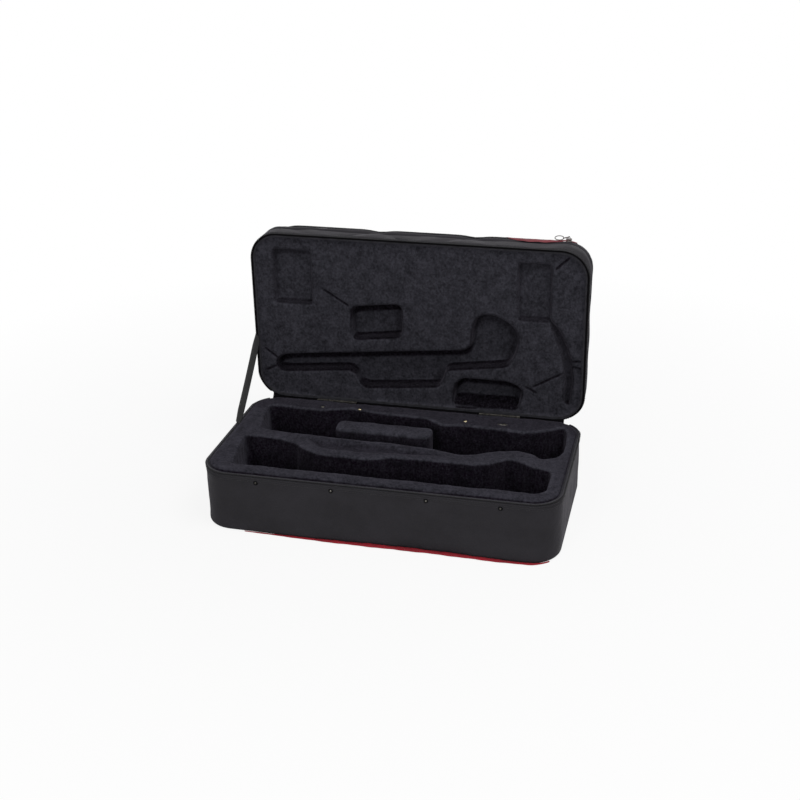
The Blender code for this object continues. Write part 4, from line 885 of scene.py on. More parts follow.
def lid_skin():
    points, normals, closed = rim_path(0.0045)
    r = 0.007
    profile = [(-0.0016, 0.0100), (-0.0016, 0.0036), (-0.0008, 0.0033), (-0.0002, 0.0040), (-0.0002, 0.0062),
               (-0.0010, 0.0070), (-0.0010, 0.0078), (-0.0002, 0.0088)]
    profile += [(0, z) for z in np.linspace(0.0105, LID_H - r, 9)]
    profile += arc_profile(-r, LID_H - r, r, 0, 90, 7)[1:]
    profile += [(-0.011, LID_H), (-0.020, LID_H), (-0.032, LID_H), (-0.044, LID_H)]
    verts, faces = sweep(points, normals, closed, profile, shift_y=-HY)
    m = len(profile)
    faces.append(tuple(i * m + m - 1 for i in range(len(points))))
    thing = mesh_object("lid_skin", verts, faces, NYLON)
    co, n = coordinates(thing), vertex_normals(thing)
    mid = fade(co[:, 2], 0.008, 0.016) * (1 - fade(co[:, 2], 0.036, 0.040))
    move = mid * (0.0009 * ripple(co, 0.090, 61) + 0.0005 * ripple(co, 0.035, 62))
    front = fade(-co[:, 1], DEPTH - 0.004, DEPTH - 0.0005)
    for x, lean, deep in PUCKERS:
        line = x + lean * (co[:, 2] - 0.02)
        move -= front * mid * deep * np.exp(-0.5 * ((co[:, 0] - line) / 0.010) ** 2)
    move += corner_swell(co[:, 0], co[:, 1]) * fade(co[:, 2], 0.009, 0.022)
    co += n * move[:, None]
    set_coordinates(thing, co)
    thing.data.transform(LID)
    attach(thing, "lid")
    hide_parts("lid_cover")

    band = [(-0.0016, 0.0024), (-0.0004, 0.0028)] + arc_profile(-0.0006, 0.0050, 0.0014, -70, 70, 6) + [(-0.0004, 0.0072)]
    points, normals, closed = rim_path(0.004)
    verts, faces = sweep(points, normals, closed, band, shift_y=-HY)
    thing = fit(mesh_object("lid_binding", verts, faces, NYLON, matrix=LID), "lid", "nylon_cover")
    rumple(thing, ((0.05, 0.00015, 53), (0.012, 0.00008, 54)))

    rows = []
    for z in (0.0056, 0.0114):
        line = np.column_stack([points + normals * (0.0007 if z < 0.007 else 0.0), np.full(len(points), z)])
        line[:, 1] -= HY
        up = np.column_stack([normals, np.zeros(len(points))])
        line, up = np.vstack([line, line[:1]]), np.vstack([up, up[:1]])
        rows.append(stitches(line, up, lift=0.0003))
    verts, faces = merge(rows)
    thing = mesh_object("lid_stitching", verts, faces, THREAD, matrix=LID)
    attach(thing, "lid")


# Where the pocket pulls the lid's front wall in: place, lean and depth
PUCKERS = ((-0.205, -1.2, 0.0016), (-0.118, 1.6, 0.0020), (-0.035, -1.4, 0.0014), (0.052, 1.5, 0.0020), (0.120, -1.0, 0.0012))


def evaluated_mesh(thing):
    bpy.context.view_layer.update()
    return bpy.data.meshes.new_from_object(thing.evaluated_get(bpy.context.evaluated_depsgraph_get()))


def remeshed(thing, voxel):
    remesh = thing.modifiers.new("remesh", "REMESH")
    remesh.mode = "VOXEL"
    remesh.voxel_size = voxel
    mesh = evaluated_mesh(thing)
    thing.modifiers.clear()
    thing.data = mesh


def crisp_edge(co, high, inset, r):
    """Gives a remeshed rounded slab its straight wall back, and the corner of radius r at its top."""
    x, y = co[:, 0], co[:, 1] + HY
    qx, qy = np.abs(x) - HX + CORNER_R, np.abs(y) - HY + CORNER_R
    round_part = (qx > 0) & (qy > 0)
    length = np.maximum(np.hypot(qx, qy), 1e-9)
    nx = np.where(round_part, qx / length, qx > qy) * np.sign(x)
    ny = np.where(round_part, qy / length, qx <= qy) * np.sign(y)
    u = box_distance(x, y, 0, 0, HX, HY, CORNER_R) + inset + r
    v = co[:, 2] - (high - r)
    wall = (u > 0) & (v <= 0) & (co[:, 2] > LID_H + 0.0035)
    turn = (u > 0) & (v > 0)
    size = np.maximum(np.hypot(u, v), 1e-9)
    new_u = np.where(turn, r * u / size, np.where(wall, r, u))
    new_v = np.where(turn, r * v / size, v)
    return co + np.column_stack([nx * (new_u - u), ny * (new_u - u), new_v - v])


def inflate(thing, held, reach):
    """Fills a closed cloth form with air, its held corners fixed, no corner moving further than reach."""
    before = coordinates(thing)
    thing.vertex_groups.new(name="held").add(np.nonzero(held)[0].tolist(), 1.0, "REPLACE")
    settings = thing.modifiers.new("cloth", "CLOTH").settings
    settings.quality = 6
    settings.use_pressure = True
    settings.uniform_pressure_force = 4
    settings.effector_weights.gravity = 0
    settings.shrink_min = -0.012
    settings.vertex_group_mass = "held"
    for number in range(1, 21):
        bpy.context.scene.frame_set(number)
    mesh = evaluated_mesh(thing)
    thing.modifiers.clear()
    thing.vertex_groups.clear()
    thing.data = mesh
    bpy.context.scene.frame_set(1)
    move = coordinates(thing) - before
    far = np.linalg.norm(move, axis=1)
    set_coordinates(thing, before + move * np.minimum(1, reach / np.maximum(far, 1e-9))[:, None])
    thing.modifiers.new("finer", "SUBSURF").levels = 1
    mesh = evaluated_mesh(thing)
    thing.modifiers.clear()
    thing.data = mesh
    mesh.shade_smooth()


def pocket():
    low, high = LID_H + 0.0004, LID_H + POCKET_H
    points, normals, closed = rim_path(0.0045)
    profile = [(-0.006, low), (-0.0014, low + 0.0006), (-0.0002, low + 0.0022)]
    profile += [(-0.0002, z) for z in np.linspace(low + 0.0040, high - 0.0048, 5)]
    profile += arc_profile(-0.0042, high - 0.0040, 0.0040, 0, 90, 6)
    rise = ((-0.016, 0.0010), (-0.024, 0.0018), (-0.034, 0.0026), (-0.044, 0.0032))
    profile += [(out, high + up) for out, up in rise]
    verts, faces = sweep(points, normals, closed, profile, shift_y=-HY)
    m, n = len(profile), len(points)
    last = np.array([i * m + m - 1 for i in range(n)])
    edge = verts[last]
    spine = np.column_stack([np.clip(edge[:, 0], HY - HX, HX - HY), np.full(n, -HY), np.full(n, high + 0.0040)])
    faces.append(tuple(int(i * m) for i in range(n)))
    for share in (0.2, 0.4, 0.6, 0.8, 0.97):
        here = len(verts) + np.arange(n)
        verts = np.vstack([verts, edge + (spine - edge) * share])
        faces += [(last[i], last[(i + 1) % n], here[(i + 1) % n], here[i]) for i in range(n)]
        last = here
    faces.append(tuple(int(i) for i in last))
    thing = mesh_object("pocket_skin", verts, faces, NYLON)
    remeshed(thing, 0.005)
    co = crisp_edge(coordinates(thing), high, 0.0002, 0.0040)
    set_coordinates(thing, co)
    inside = -box_distance(co[:, 0], co[:, 1] + HY, 0, 0, HX, HY, CORNER_R)
    inflate(thing, (inside < 0.0072) | (co[:, 2] < high - 0.006), 0.0045)
    mesh = thing.data
    quads = np.array([p.vertices[:] for p in mesh.polygons])
    co = coordinates(thing)
    co[:, 2] = np.maximum(co[:, 2], LID_H + 0.0001)
    verts, quads = only(co, quads, co[quads].mean(1)[:, 2] > LID_H + 0.0006)
    bpy.data.objects.remove(thing)
    thing = mesh_object("pocket_skin", verts, quads, NYLON)
    co, nrm = coordinates(thing), vertex_normals(thing)
    back = fade(nrm[:, 2], 0.45, 0.85)
    wall = 1 - back
    inside = -box_distance(co[:, 0], co[:, 1] + HY, 0, 0, HX - 0.0015, HY - 0.0015, CORNER_R)
    near = np.exp(-inside / 0.030)
    move = 0.0005 * wall * ripple(co, 0.060, 71) + back * (0.0011 * ripple(co, 0.120, 73) + 0.0005 * ripple(co, 0.050, 74))
    around = np.arctan2(co[:, 1] + HY, co[:, 0] * DEPTH / LENGTH)
    move += back * near * 0.0008 * np.sin(around * 46 + 2 * ripple(co, 0.2, 75))
    front = fade(-co[:, 1], DEPTH - 0.010, DEPTH - 0.002)
    move -= front * pucker_depth(co[:, 0], co[:, 2])
    move += corner_swell(co[:, 0], co[:, 1]) * wall
    set_coordinates(thing, co + nrm * move[:, None])

    # Welt and stitching lie on the finished form
    bpy.context.view_layer.update()
    for name, inset, lift, material in (("pocket_welt", 0.0049, 0.0, TAPE), ("pocket_stitching", 0.0120, 0.0003, THREAD)):
        points, normals, closed = rim_path(0.005, inset=inset)
        line = []
        for x, y in points:
            found, spot, _, _ = thing.ray_cast((x, y - HY, high + 0.03), (0, 0, -1))
            line.append((x, y - HY, (spot.z if found else high) + lift))
        line = np.array(line)
        line[:, 2] = (np.roll(line[:, 2], 1) + 2 * line[:, 2] + np.roll(line[:, 2], -1)) / 4
        up = np.tile(np.array((0.0, 0.0, 1.0)), (len(line) + 1, 1))
        if material is TAPE:
            verts, faces = tube(line, 0.0016, 8, closed=True)
        else:
            verts, faces = stitches(np.vstack([line, line[:1]]), up, lift=0.0003)
        detail = mesh_object(name, verts, faces, material, matrix=LID)
        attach(detail, "lid")
    thing.data.transform(LID)
    fit(thing, "lid", "nylon_cover", "pocket_body")


def red_band():
    """The red piece let into the pocket's front wall: a leaf shape, widest near its left third."""
    count, across, bend = 64, 9, HX - CORNER_R
    x0, total = 0.147, bend - 0.147 + 0.020
    verts, faces = [], []
    for i in range(count + 1):
        t = i / count
        swell = math.sin(math.pi * t ** 0.8) ** 0.9
        bottom = 0.0532 - 0.0145 * swell + 0.0008 * math.sin(t * 17) * swell
        top = 0.0538 + 0.0004 * swell
        turn = max(0.0, t * total - (bend - x0)) / CORNER_R
        for j in range(across):
            s = j / (across - 1)
            z = bottom + (top - bottom) * s
            puff = math.sin(math.pi * s) ** 0.6 * (0.0008 + 0.0012 * swell) + 0.0004 * math.sin(t * 31 + s * 2) * swell
            reach = CORNER_R + 0.0001 + puff - 0.0024 * s ** 4
            reach += float(corner_swell(min(x0 + t * total, bend), -DEPTH))
            x = min(x0 + t * total, bend) + reach * math.sin(turn)
            verts.append((x, -(DEPTH - CORNER_R) - reach * math.cos(turn), z))
    for i in range(count):
        for j in range(across - 1):
            a, b = i * across + j, (i + 1) * across + j
            faces.append((a, b, b + 1, a + 1))
    fit(mesh_object("red_band", verts, faces, RED_BAND, matrix=LID), "lid", "red_trim", "pocket_red_band")


def red_piping():
    x0, bend = -0.220, HX - CORNER_R
    line, radius = [], []
    count = 110
    corner = math.radians(44) * CORNER_R
    total = bend - x0 + corner
    for i in range(count + 1):
        s = total * i / count
        share = i / count
        grow = 0.66 + 0.42 * float(fade(s, 0.03, 0.26))
        r = 0.0028 * grow * math.sqrt(max(0.08, math.sin(math.pi * share)) ** 0.7)
        r *= 1 + 0.10 * math.sin(s * 95) + 0.06 * math.sin(s * 240 + 1)
        z = r + 0.0002 + 0.0005 * (0.5 + 0.5 * math.sin(s * 41 + 0.7))
        out = 2 * math.sqrt(0.007 * z) - 0.007 + 0.0002
        if s <= bend - x0:
            line.append((x0 + s, -HY - out - foot_bulge(x0 + s), z))
        else:
            a = (s - (bend - x0)) / CORNER_R
            x = bend + (CORNER_R + out) * math.sin(a)
            line.append((x, -HY + CORNER_R - (CORNER_R + out) * math.cos(a) - foot_bulge(x), z))
        radius.append(r)
    verts, faces = tube(line, radius, 10)
    thing = fit(mesh_object("red_piping", verts, faces, RED), "base", "red_trim", "base_red_piping")
    # Painted shade on the piping's upper half, under the cover's edge
    mark_painted_shade(thing, 0.6 * fade(verts[:, 2] - np.repeat([p[2] for p in line], 10), 0.0, 0.0012))


# Zips

def coil_line(level, away, step):
    """The coil's line and outward normals round three sides, led away from the hinge at the rear."""
    rear = HX - CORNER_R
    arc = math.pi * CORNER_R / 2
    points, normals, _ = rim_path(step, 0.0, rear - (rear - 0.196), path_length() - 0.196)
    reach = np.linspace(0.196, path_length() - 0.196, len(points))
    from_end = np.minimum(reach, path_length() - reach)
    fall = np.clip(1 - (from_end - rear) / arc, 0, 1)
    z = level + away * fall * fall * (3 - 2 * fall)
    line = np.column_stack([points + normals * 0.0004, z])
    return line, np.column_stack([normals, np.zeros(len(points))])


def coil_pieces(line, normals, pitch=0.0022, wire=0.00030, out=0.0009, high=0.0010):
    """A zip's half chain: a wound wire with its core."""
    gaps = np.linalg.norm(np.diff(line, axis=0), axis=1)
    reach = np.concatenate([[0], np.cumsum(gaps)])
    turns = int(reach[-1] / pitch)
    per = 7
    at = np.linspace(0, reach[-1], turns * per + 1)
    spot = np.stack([np.interp(at, reach, line[:, i]) for i in range(3)], 1)
    side = np.stack([np.interp(at, reach, normals[:, i]) for i in range(3)], 1)
    side /= np.linalg.norm(side, axis=1)[:, None]
    along = np.gradient(spot, axis=0)
    along /= np.linalg.norm(along, axis=1)[:, None]
    rise = np.cross(along, side)
    angle = 2 * math.pi * np.arange(len(at)) / per
    wound = spot + side * (out * np.cos(angle))[:, None] + rise * (high * np.sin(angle))[:, None]
    coil = tube(wound, wire, 4, up=(0.12, 0.31, 0.94))
    core = tube(line[::2] if len(line) > 40 else line, 0.00062, 6, up=(0.12, 0.31, 0.94))
    return merge([coil, core])


def main_zip():
    step = 0.003
    base_level, lid_level = BASE_H - 0.0014, 0.0014
    line, normals = coil_line(base_level, -0.0075, step)
    verts, faces = coil_pieces(line, normals)
    thing = mesh_object("base_coil_teeth", verts, faces, COIL)
    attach(thing, "base")
    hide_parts("base_zip_coil")
    line, normals = coil_line(lid_level, 0.0075, step)
    line[:, 1] -= HY
    verts, faces = coil_pieces(line, normals)
    thing = mesh_object("lid_coil_teeth", verts, faces, COIL, matrix=LID)
    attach(thing, "lid")
    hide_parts("lid_zip_coil")

    # The tapes stop at the rear corners; the lid's is narrower where the plush laps over it
    for word, level, sense, lift, width in (("base", 0.1052, 1, 0, 0.0026), ("lid", 0.0012, -1, -HY, 0.0030)):
        start = HX - CORNER_R + math.pi / 2 * CORNER_R * 0.38
        points, normals, closed = rim_path(0.004, 0.0, start, path_length() - start)
        profile = [(-0.0002, level - sense * 0.0010), (0.0001, level - sense * 0.0002), (-0.0003, level + sense * 0.0004),
                   (-0.3 * width, level + sense * 0.0005), (-0.7 * width, level + sense * 0.0004),
                   (-width, level + sense * 0.0001), (-width - 0.0002, level - sense * 0.0006),
                   (-0.5 * width, level - sense * 0.0006)]
        verts, faces = sweep(points, normals, closed, profile, loop=True, shift_y=lift)
        if sense < 0:
            faces = [f[::-1] for f in faces]
        # The lid's tape is near-black, partly as painted shade for the dark line at the lid's rim
        thing = mesh_object(f"{word}_tape_cloth", verts, faces, BINDING if word == "base" else TAPE,
                            matrix=LID if word == "lid" else None)
        rumple(thing, ((0.03, 0.00012, 81),))
        fit(thing, word, "zip_tape", f"{word}_zip_tape")


def pucker_depth(x, z):
    return sum(deep * np.exp(-0.5 * ((x - line - lean * (z - 0.02)) / 0.011) ** 2) for line, lean, deep in PUCKERS)


def pocket_zip():
    y = -DEPTH - 0.0003
    z = LID_H + 0.0132
    line = np.array([(x, y + pucker_depth(x, z) + 0.0030 * (1 - float(fade(0.256 - abs(x), 0.006, 0.030))), z)
                     for x in np.linspace(-0.245, 0.250, 130)])
    normals = np.tile(np.array((0.0, -1.0, 0.0)), (len(line), 1))
    parts = [coil_pieces(line, normals, 0.0020, 0.00026, 0.0008, 0.0010)]
    parts.append(tube(line[::4] + np.array((0, 0.0006, 0.0017)), 0.0007, 6, flat=0.6))
    parts.append(tube(line[::4] + np.array((0, 0.0006, -0.0017)), 0.0007, 6, flat=0.6))
    verts, faces = merge(parts)
    thing = mesh_object("pocket_zip_teeth", verts, faces, COIL, matrix=LID)
    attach(thing, "lid")
    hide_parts("pocket_zip_chain")


# Strap, spine and hinge covers

def stay_strap():
    low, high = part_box("stay_strap")
    x = (low.x + high.x) / 2
    a = Vector((x, HY - 0.1255, BASE_H - 0.0004))
    b = Vector((x, HY - 0.0023 + 0.0004, BASE_H + 0.1165))
    run = (b - a).normalized()
    across = Vector((0, -run.z, run.y))
    verts, faces = [], []
    rows, cols = 46, 9
    for i in range(rows + 1):
        t = i / rows
        p = a.lerp(b, t)
        bow = 0.0008 * math.sin(math.pi * t)
        lean = math.radians(-14) * min(1.0, 0.35 + 5 * min(t, 1 - t))
        for j in range(cols):
            s = j / (cols - 1) - 0.5
            edge = 1 - (2 * abs(s)) ** 6
            spot = p + across * (0.020 * s * math.cos(lean)) + Vector((1, 0, 0)) * (0.020 * s * math.sin(lean) + bow)
            verts.append(spot + Vector((0.0007 * edge + 0.0001, 0, 0)))
            verts.append(spot - Vector((0.0007 * edge + 0.0001, 0, 0)))
    w = cols * 2
    for i in range(rows):
        for j in range(cols - 1):
            p, q = i * w + j * 2, (i + 1) * w + j * 2
            faces.append((p, p + 2, q + 2, q))
            faces.append((p + 1, q + 1, q + 3, p + 3))
        faces.append((i * w, (i + 1) * w, (i + 1) * w + 1, i * w + 1))
        faces.append((i * w + w - 2, i * w + w - 1, (i + 1) * w + w - 1, (i + 1) * w + w - 2))
    faces.append(tuple(j * 2 for j in range(cols)) + tuple(j * 2 + 1 for j in range(cols - 1, -1, -1)))
    faces.append((tuple(rows * w + j * 2 for j in range(cols)) + tuple(rows * w + j * 2 + 1 for j in range(cols - 1, -1, -1)))[::-1])
    thing = mesh_object("stay_webbing", [tuple(v) for v in verts], faces, WEBBING)
    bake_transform(thing)
    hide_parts("stay_strap")


def fold_strip(name, x0, x1, line, thickness, material, nodes, seed, round_corners=False):
    """A strip of cloth along X whose section follows a line of (y, z) points, over the hinge line."""
    line = np.array(line, float)
    gaps = np.linalg.norm(np.diff(line, axis=0), axis=1)
    reach = np.concatenate([[0], np.cumsum(gaps)])
    at = np.linspace(0, reach[-1], 20)
    mid = np.stack([np.interp(at, reach, line[:, i]) for i in range(2)], 1)
    mid[1:-1] = (mid[:-2] + 2 * mid[1:-1] + mid[2:]) / 4
    slope = np.gradient(mid, axis=0)
    slope /= np.linalg.norm(slope, axis=1)[:, None]
    normal = np.column_stack([-slope[:, 1], slope[:, 0]])
    cols = max(12, int((x1 - x0) / 0.005))
    verts, faces = [], []
    loop = [(i, 1) for i in range(20)] + [(i, -1) for i in range(19, -1, -1)]
    for c in range(cols + 1):
        x = x0 + (x1 - x0) * c / cols
        end_taper = min(1.0, 0.25 + 6 * min(c, cols - c) / cols)
        for i, sense in loop:
            edge_taper = 0.4 + 0.6 * min(1.0, min(i, 19 - i) / 2)
            half = thickness / 2 * edge_taper * end_taper
            wob = 0.0005 * ripple(np.array((x, at[i], 0.0)), 0.03, seed)
            y, z = mid[i] + normal[i] * (sense * half + wob)
            beyond = max(0.0, abs(x) - (HX - CORNER_R)) if round_corners else 0.0
            back = CORNER_R - math.sqrt(CORNER_R ** 2 - beyond ** 2)
            share = at[i] / reach[-1]
            verts.append((x, y - back * (1 - share), z + back * share))
    m = len(loop)
    for c in range(cols):
        for j in range(m):
            k = (j + 1) % m
            faces.append((c * m + j, c * m + k, (c + 1) * m + k, (c + 1) * m + j))
    faces.append(tuple(range(m)))
    faces.append(tuple(cols * m + j for j in range(m - 1, -1, -1)))
    thing = mesh_object(name, verts, faces, material)
    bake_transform(thing)
    if nodes:
        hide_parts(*nodes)
    return thing


def slab(line, x0, x1, half):
    """A bent plate along X whose middle follows a line of (y, z) points."""
    line = np.array(line, float)
    slope = np.gradient(line, axis=0)
    slope /= np.linalg.norm(slope, axis=1)[:, None]
    normal = np.column_stack([-slope[:, 1], slope[:, 0]]) * half
    ring = np.vstack([line + normal, (line - normal)[::-1]])
    m = len(ring)
    verts = [(x, y, z) for x in (x0, x1) for y, z in ring]
    faces = [(j, (j + 1) % m, m + (j + 1) % m, m + j) for j in range(m)]
    return verts, faces + [tuple(range(m - 1, -1, -1)), tuple(range(m, 2 * m))]


def hinge_leaves():
    for side, word in ((-1, "left"), (1, "right")):
        inner, outer, wide = side * 0.112, side * 0.185, side * 0.088
        pitch = (outer - inner) / 5
        knuckles = [tube([(inner + pitch * (i + 0.03), 0, 0), (inner + pitch * (i + 0.97), 0, 0)], 0.0020, 14)
                    for i in range(5)]
        knuckles = [(v + np.array((0, HY, BASE_H)), f) for v, f in knuckles]
        neck = slab([(HY - 0.0014, 0.1070), (HY - 0.0075, 0.1071), (HY - 0.0130, 0.1084)], inner, outer, 0.0004)
        plate = slab([(HY - 0.0125, 0.1084), (HY - 0.0200, 0.1084), (HY - 0.0320, 0.1084)], wide, outer, 0.0004)
        parts = knuckles[::2] + [neck, plate]
        if side > 0:
            parts.append(slab([(0.1068, 0.1098), (0.1084, 0.1108), (0.1100, 0.1112)], 0.1530, 0.1700, 0.0006))
        thing = mesh_object(f"hinge_plate_{word}", *merge(parts), STEEL, smooth=False)
        fit(thing, "base", "hinge_steel", f"hinge_base_leaf_{word}")
        turned_leaf = slab([(-0.0014, 0.0014), (-0.0026, 0.0056), (-0.0042, 0.0078), (-0.0090, 0.0080)], inner, outer, 0.0004)
        leaf_verts = [tuple(LID @ Vector(v)) for v in turned_leaf[0]]
        thing = mesh_object(f"hinge_lid_plate_{word}", *merge(knuckles[1::2] + [(leaf_verts, turned_leaf[1])]), STEEL, smooth=False)
        fit(thing, "lid", "hinge_steel", f"hinge_lid_leaf_{word}")


def hinge_covers():
    gusset = [(HY + 0.0004, 0.1022), (HY + 0.0016, 0.1040), (HY + 0.0026, 0.1058), (HY + 0.0028, 0.1078), (HY + 0.0024, 0.1102)]
    # The gusset is in the near-black tape material, partly as painted shade in the gap at the hinge
    fold_strip("hinge_gusset", -0.2695, 0.2620, gusset, 0.0009, TAPE, None, 90,
               round_corners=True)
    spine = [(HY + 0.0011, 0.0882), (HY + 0.0011, 0.0985), (HY + 0.0030, 0.1018), (HY + 0.0075, 0.1040),
             (HY + 0.0168, 0.1040)]
    fold_strip("spine_cloth", -0.184, 0.184, spine, 0.0013, NYLON, ["spine_strip"], 91)


def small_metal():
    dome = [(0.0015, 0.0002), (0.0015, 0.0009), (0.0012, 0.0013), (0.0008, 0.0015), (0.0003, 0.0016)]
    ring = [(0.0015, 0.0001), (0.0024, 0.0008), (0.0034, 0.0009), (0.0039, 0.0004), (0.0040, 0.0)][::-1]
    for number in range(1, 5):
        low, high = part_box(f"front_stud_{number}")
        centre = ((low.x + high.x) / 2, -HY - 0.0002, (low.z + high.z) / 2)
        thing = mesh_object(f"stud_{number}", *turned(dome, centre, (0, -1, 0)), STEEL)
        fit(thing, "base", "chrome", f"front_stud_{number}")
        fit(mesh_object(f"stud_eyelet_{number}", *turned(ring, centre, (0, -1, 0)), EYELET), "base", "black_metal")
    rivet = [(0.0032, 0.0), (0.0034, 0.0006), (0.0031, 0.0013), (0.0022, 0.0018), (0.0010, 0.0020), (0.0003, 0.0020)]
    for number in range(1, 5):
        low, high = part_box(f"hinge_rivet_{number}")
        centre = (*RIVETS[number - 1], 0.1098)
        thing = mesh_object(f"rivet_{number}", *turned(rivet, centre, (0, 0, 1)), BRASSY if number in (2, 3) else STEEL)
        fit(thing, "base", "hinge_steel", f"hinge_rivet_{number}")


def plate(outline, low, high, bevel=0.0002):
    """A flat piece with bevelled edges between two heights."""
    outline = np.asarray(outline, float)
    centre = (outline.max(0) + outline.min(0)) / 2
    reach = (outline.max(0) - outline.min(0)) / 2
    inner = centre + (outline - centre) * (1 - bevel / reach)
    m = len(outline)
    rings = ((inner, low), (outline, low + bevel), (outline, high - bevel), (inner, high))
    verts = np.concatenate([np.column_stack([ring, np.full(m, z)]) for ring, z in rings])
    faces = [(i * m + j, i * m + (j + 1) % m, (i + 1) * m + (j + 1) % m, (i + 1) * m + j) for i in range(3) for j in range(m)]
    return verts, faces + [tuple(range(m - 1, -1, -1)), tuple(3 * m + j for j in range(m))]


def oval(cx, cy, rx, ry, power=1.0, taper=0.0, steps=28):
    """An outline between an ellipse, power 1, and a rectangle, power 0; taper widens its +x end."""
    out = []
    for k in range(steps):
        c, s = math.cos(2 * math.pi * k / steps), math.sin(2 * math.pi * k / steps)
        c, s = math.copysign(abs(c) ** power, c), math.copysign(abs(s) ** power, s)
        out.append((cx + rx * c, cy + ry * s * (1 + taper * c)))
    return out


def loop(points, radius, sides=8):
    return tube(np.column_stack([np.asarray(points, float), np.zeros(len(points))]), radius, sides, closed=True)


def placed(parts, place):
    """The parts merged, each corner moved by place, which takes and gives an array of points."""
    verts, faces = merge(parts)
    return place(verts), faces


def slider_form(rx, ry, top):
    """A zip slider: two shield plates with lips, the post between them and the bridge for the pull."""
    shield = oval(0, 0, rx, ry, 0.55, 0.14)
    parts = [plate(shield, 0.0002, 0.0012), plate(shield, 0.0034, 0.0045, 0.0003)]
    parts.append(plate(oval(0.3 * rx, 0, 0.42 * rx, 0.24 * ry, 0.6), 0.0010, 0.0036))
    for side in (-1, 1):
        lip = oval(-0.1 * rx, side * (ry - 0.0005), 0.62 * rx, 0.0005, 0.4)
        parts += [plate(lip, 0.0010, 0.0018, 0.0001), plate(lip, 0.0028, 0.0036, 0.0001)]
    angles = np.linspace(0, math.pi, 13)
    arch = [(-0.34 * rx * math.cos(a), 0, 0.0042 + (top - 0.0048) * math.sin(a) ** 0.7) for a in angles]
    parts.append(tube(arch, 0.0006, 8, up=(0, 1, 0)))
    return parts


def main_sliders():
    for side, word in ((-1, "left"), (1, "right")):
        pivot = np.array((side * 0.206, 0.1618, 0.0971))

        def on_wall(v):
            return np.column_stack([pivot[0] - v[:, 0], HY + 0.0003 + v[:, 2], pivot[2] + v[:, 1]])

        def hanging(v):
            return np.column_stack([pivot[0] + v[:, 0], pivot[1] - 0.0006 + v[:, 2], pivot[2] - v[:, 1]])

        thing = mesh_object(f"slider_form_{word}", *placed(slider_form(0.0055, 0.0039, 0.0085), on_wall), BLACK_METAL)
        fit(thing, f"slider_{word}", "black_metal", f"zip_slider_{word}")
        eye = [(v + np.array((0, 0, 0.0006)), f) for v, f in (loop(oval(0, 0, 0.0032, 0.0032), 0.0005),)]
        parts = eye + [plate(oval(0, 0.0057, 0.0014, 0.0024, 0.4), 0.0001, 0.0011),
                       plate(oval(0, 0.0168, 0.0037, 0.0092, 0.45), 0.0, 0.0012, 0.0003)]
        parts += [(v + np.array((0, 0, 0.0012)), f) for v, f in (loop(oval(0, 0.0168, 0.0027, 0.0078, 0.6), 0.0003, 6),)]
        thing = mesh_object(f"pull_form_{word}", *placed(parts, hanging), BLACK_METAL)
        fit(thing, f"pull_{word}", "black_metal", f"zip_pull_{word}")


def pocket_hardware():
    x, level, across = 0.2530, DEPTH + 0.0002, LID_H + 0.0132

    def on_wall(v):
        return np.column_stack([x + v[:, 0], -(level + v[:, 2]), across + v[:, 1]])

    thing = mesh_object("pocket_slider_form", *placed(slider_form(0.0052, 0.0034, 0.0094), on_wall), GUNMETAL, matrix=LID)
    fit(thing, "pocket_slider", "black_metal", "pocket_slider")
    pivot = np.array((0.253, 0.19988, 0.42416))
    link = [(pivot[0] - 0.0048 + 0.0050 * math.cos(a), pivot[1] + 0.0016 * math.sin(a), pivot[2] - 0.0006 + 0.0012 * math.cos(a))
            for a in np.linspace(0, 2 * math.pi, 24, endpoint=False)]
    ring = [(pivot[0] - 0.0162 + 0.0074 * math.cos(a), pivot[1] + 0.0066 * math.sin(a), pivot[2] - 0.0016 + 0.0016 * math.sin(a))
            for a in np.linspace(0, 2 * math.pi, 40, endpoint=False)]
    parts = [tube(link, 0.0006, 8, closed=True, up=(0, 0.1, 1)), tube(ring, 0.0007, 8, closed=True)]
    fit(mesh_object("pocket_ring", *merge(parts), RING), "pocket_pull", "chrome", "pocket_pull")


def dress(names, material):
    for name in names:
        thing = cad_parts[name]
        for slot in thing.material_slots:
            slot.material = material


def camera():
    data = bpy.data.cameras.new("camera")
    data.lens = 59.28
    data.sensor_width = 36
    thing = bpy.data.objects.new("camera", data)
    bpy.context.scene.collection.objects.link(thing)
    right = Vector((0.9715533, 0.23648121, -0.01268172))
    up = Vector((-0.08494687, 0.39797906, 0.91345317))
    back = Vector((0.22106157, -0.88639117, 0.40674621))
    matrix = Matrix((right, up, back)).transposed().to_4x4()
    matrix.translation = Vector((0.48842684, -1.92889029, 1.07583204))
    thing.matrix_world = matrix
    bpy.context.scene.camera = thing


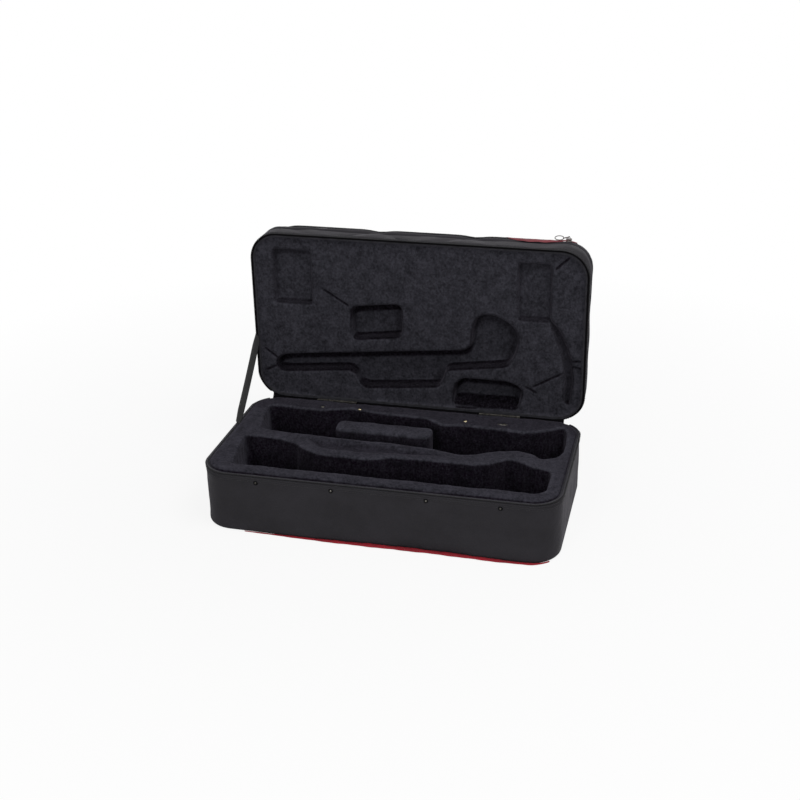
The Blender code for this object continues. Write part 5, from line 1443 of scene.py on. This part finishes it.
def studio():
    verts = [(-14, -6, 0), (14, -6, 0), (14, 22, 0), (-14, 22, 0)]
    material = bpy.data.materials.new("floor")
    material.use_nodes = True
    tree = material.node_tree
    tree.nodes["Principled BSDF"].inputs["Base Color"].default_value = (0.80, 0.80, 0.80, 1)
    tree.nodes["Principled BSDF"].inputs["Roughness"].default_value = 0.9
    tree.nodes["Principled BSDF"].inputs["Specular IOR Level"].default_value = 0.1
    path = tree.nodes.new("ShaderNodeLightPath")
    glow = tree.nodes.new("ShaderNodeEmission")
    glow.inputs["Color"].default_value = (1, 1, 1, 1)
    glow.inputs["Strength"].default_value = 1.0
    mix = tree.nodes.new("ShaderNodeMixShader")
    coords = tree.nodes.new("ShaderNodeTexCoord")
    away = tree.nodes.new("ShaderNodeVectorMath")
    away.operation = "LENGTH"
    tree.links.new(coords.outputs["Object"], away.inputs[0])
    far = tree.nodes.new("ShaderNodeMapRange")
    for index, number in enumerate((0.35, 1.3, 0.88, 1.0), 1):
        far.inputs[index].default_value = number
    tree.links.new(away.outputs["Value"], far.inputs[0])
    seen = tree.nodes.new("ShaderNodeMath")
    seen.operation = "MULTIPLY"
    tree.links.new(far.outputs[0], seen.inputs[1])
    tree.links.new(path.outputs["Is Camera Ray"], seen.inputs[0])
    tree.links.new(seen.outputs[0], mix.inputs["Fac"])
    tree.links.new(tree.nodes["Principled BSDF"].outputs["BSDF"], mix.inputs[1])
    tree.links.new(glow.outputs["Emission"], mix.inputs[2])
    tree.links.new(mix.outputs["Shader"], tree.nodes["Material Output"].inputs["Surface"])
    mesh_object("floor", verts, [(0, 1, 2, 3)], material, smooth=False)

    world = bpy.data.worlds.new("studio")
    bpy.context.scene.world = world
    world.use_nodes = True
    tree = world.node_tree
    soft = tree.nodes["Background"]
    soft.inputs["Color"].default_value = (1, 1, 1, 1)
    soft.inputs["Strength"].default_value = 0.26
    white = tree.nodes.new("ShaderNodeBackground")
    white.inputs["Color"].default_value = (1, 1, 1, 1)
    white.inputs["Strength"].default_value = 1.0
    path = tree.nodes.new("ShaderNodeLightPath")
    either = tree.nodes.new("ShaderNodeMath")
    either.operation = "MAXIMUM"
    tree.links.new(path.outputs["Is Camera Ray"], either.inputs[0])
    tree.links.new(path.outputs["Is Glossy Ray"], either.inputs[1])
    most = tree.nodes.new("ShaderNodeMath")
    most.operation = "MAXIMUM"
    tree.links.new(either.outputs[0], most.inputs[0])
    tree.links.new(path.outputs["Is Transmission Ray"], most.inputs[1])
    mix = tree.nodes.new("ShaderNodeMixShader")
    tree.links.new(most.outputs[0], mix.inputs["Fac"])
    tree.links.new(soft.outputs[0], mix.inputs[1])
    tree.links.new(white.outputs[0], mix.inputs[2])
    tree.links.new(mix.outputs["Shader"], tree.nodes["World Output"].inputs["Surface"])

    for name, place, size, power in (("key", (0.9, -0.5, 2.1), 1.3, 27), ("fill", (-0.4, -2.6, 1.25), 0.9, 24)):
        light = bpy.data.lights.new(name, "AREA")
        light.size = size
        light.energy = power
        lamp = bpy.data.objects.new(name, light)
        bpy.context.scene.collection.objects.link(lamp)
        lamp.location = place
        lamp.rotation_mode = "QUATERNION"
        lamp.rotation_quaternion = (Vector((0, 0.05, 0.15)) - Vector(place)).to_track_quat("-Z", "Y")
    bpy.context.scene.view_settings.view_transform = "Standard"


camera()
studio()
base_lining()
well_block()
lid_lining()
base_skin()
lid_skin()
pocket()
red_band()
red_piping()
main_zip()
pocket_zip()
stay_strap()
hinge_leaves()
hinge_covers()
small_metal()
main_sliders()
pocket_hardware()
dress(("base_shell", "lid_shell"), BOARD)
dress(("hinge_pin_left", "hinge_pin_right"), STEEL)
dress(("handle_bracket_left", "handle_bracket_right", "handle_pin_left", "handle_pin_right",
       "handle_bracket_left_rivet_1", "handle_bracket_left_rivet_2", "handle_bracket_right_rivet_1",
       "handle_bracket_right_rivet_2"), CHROME)
dress(("handle_grip",), GRIP)
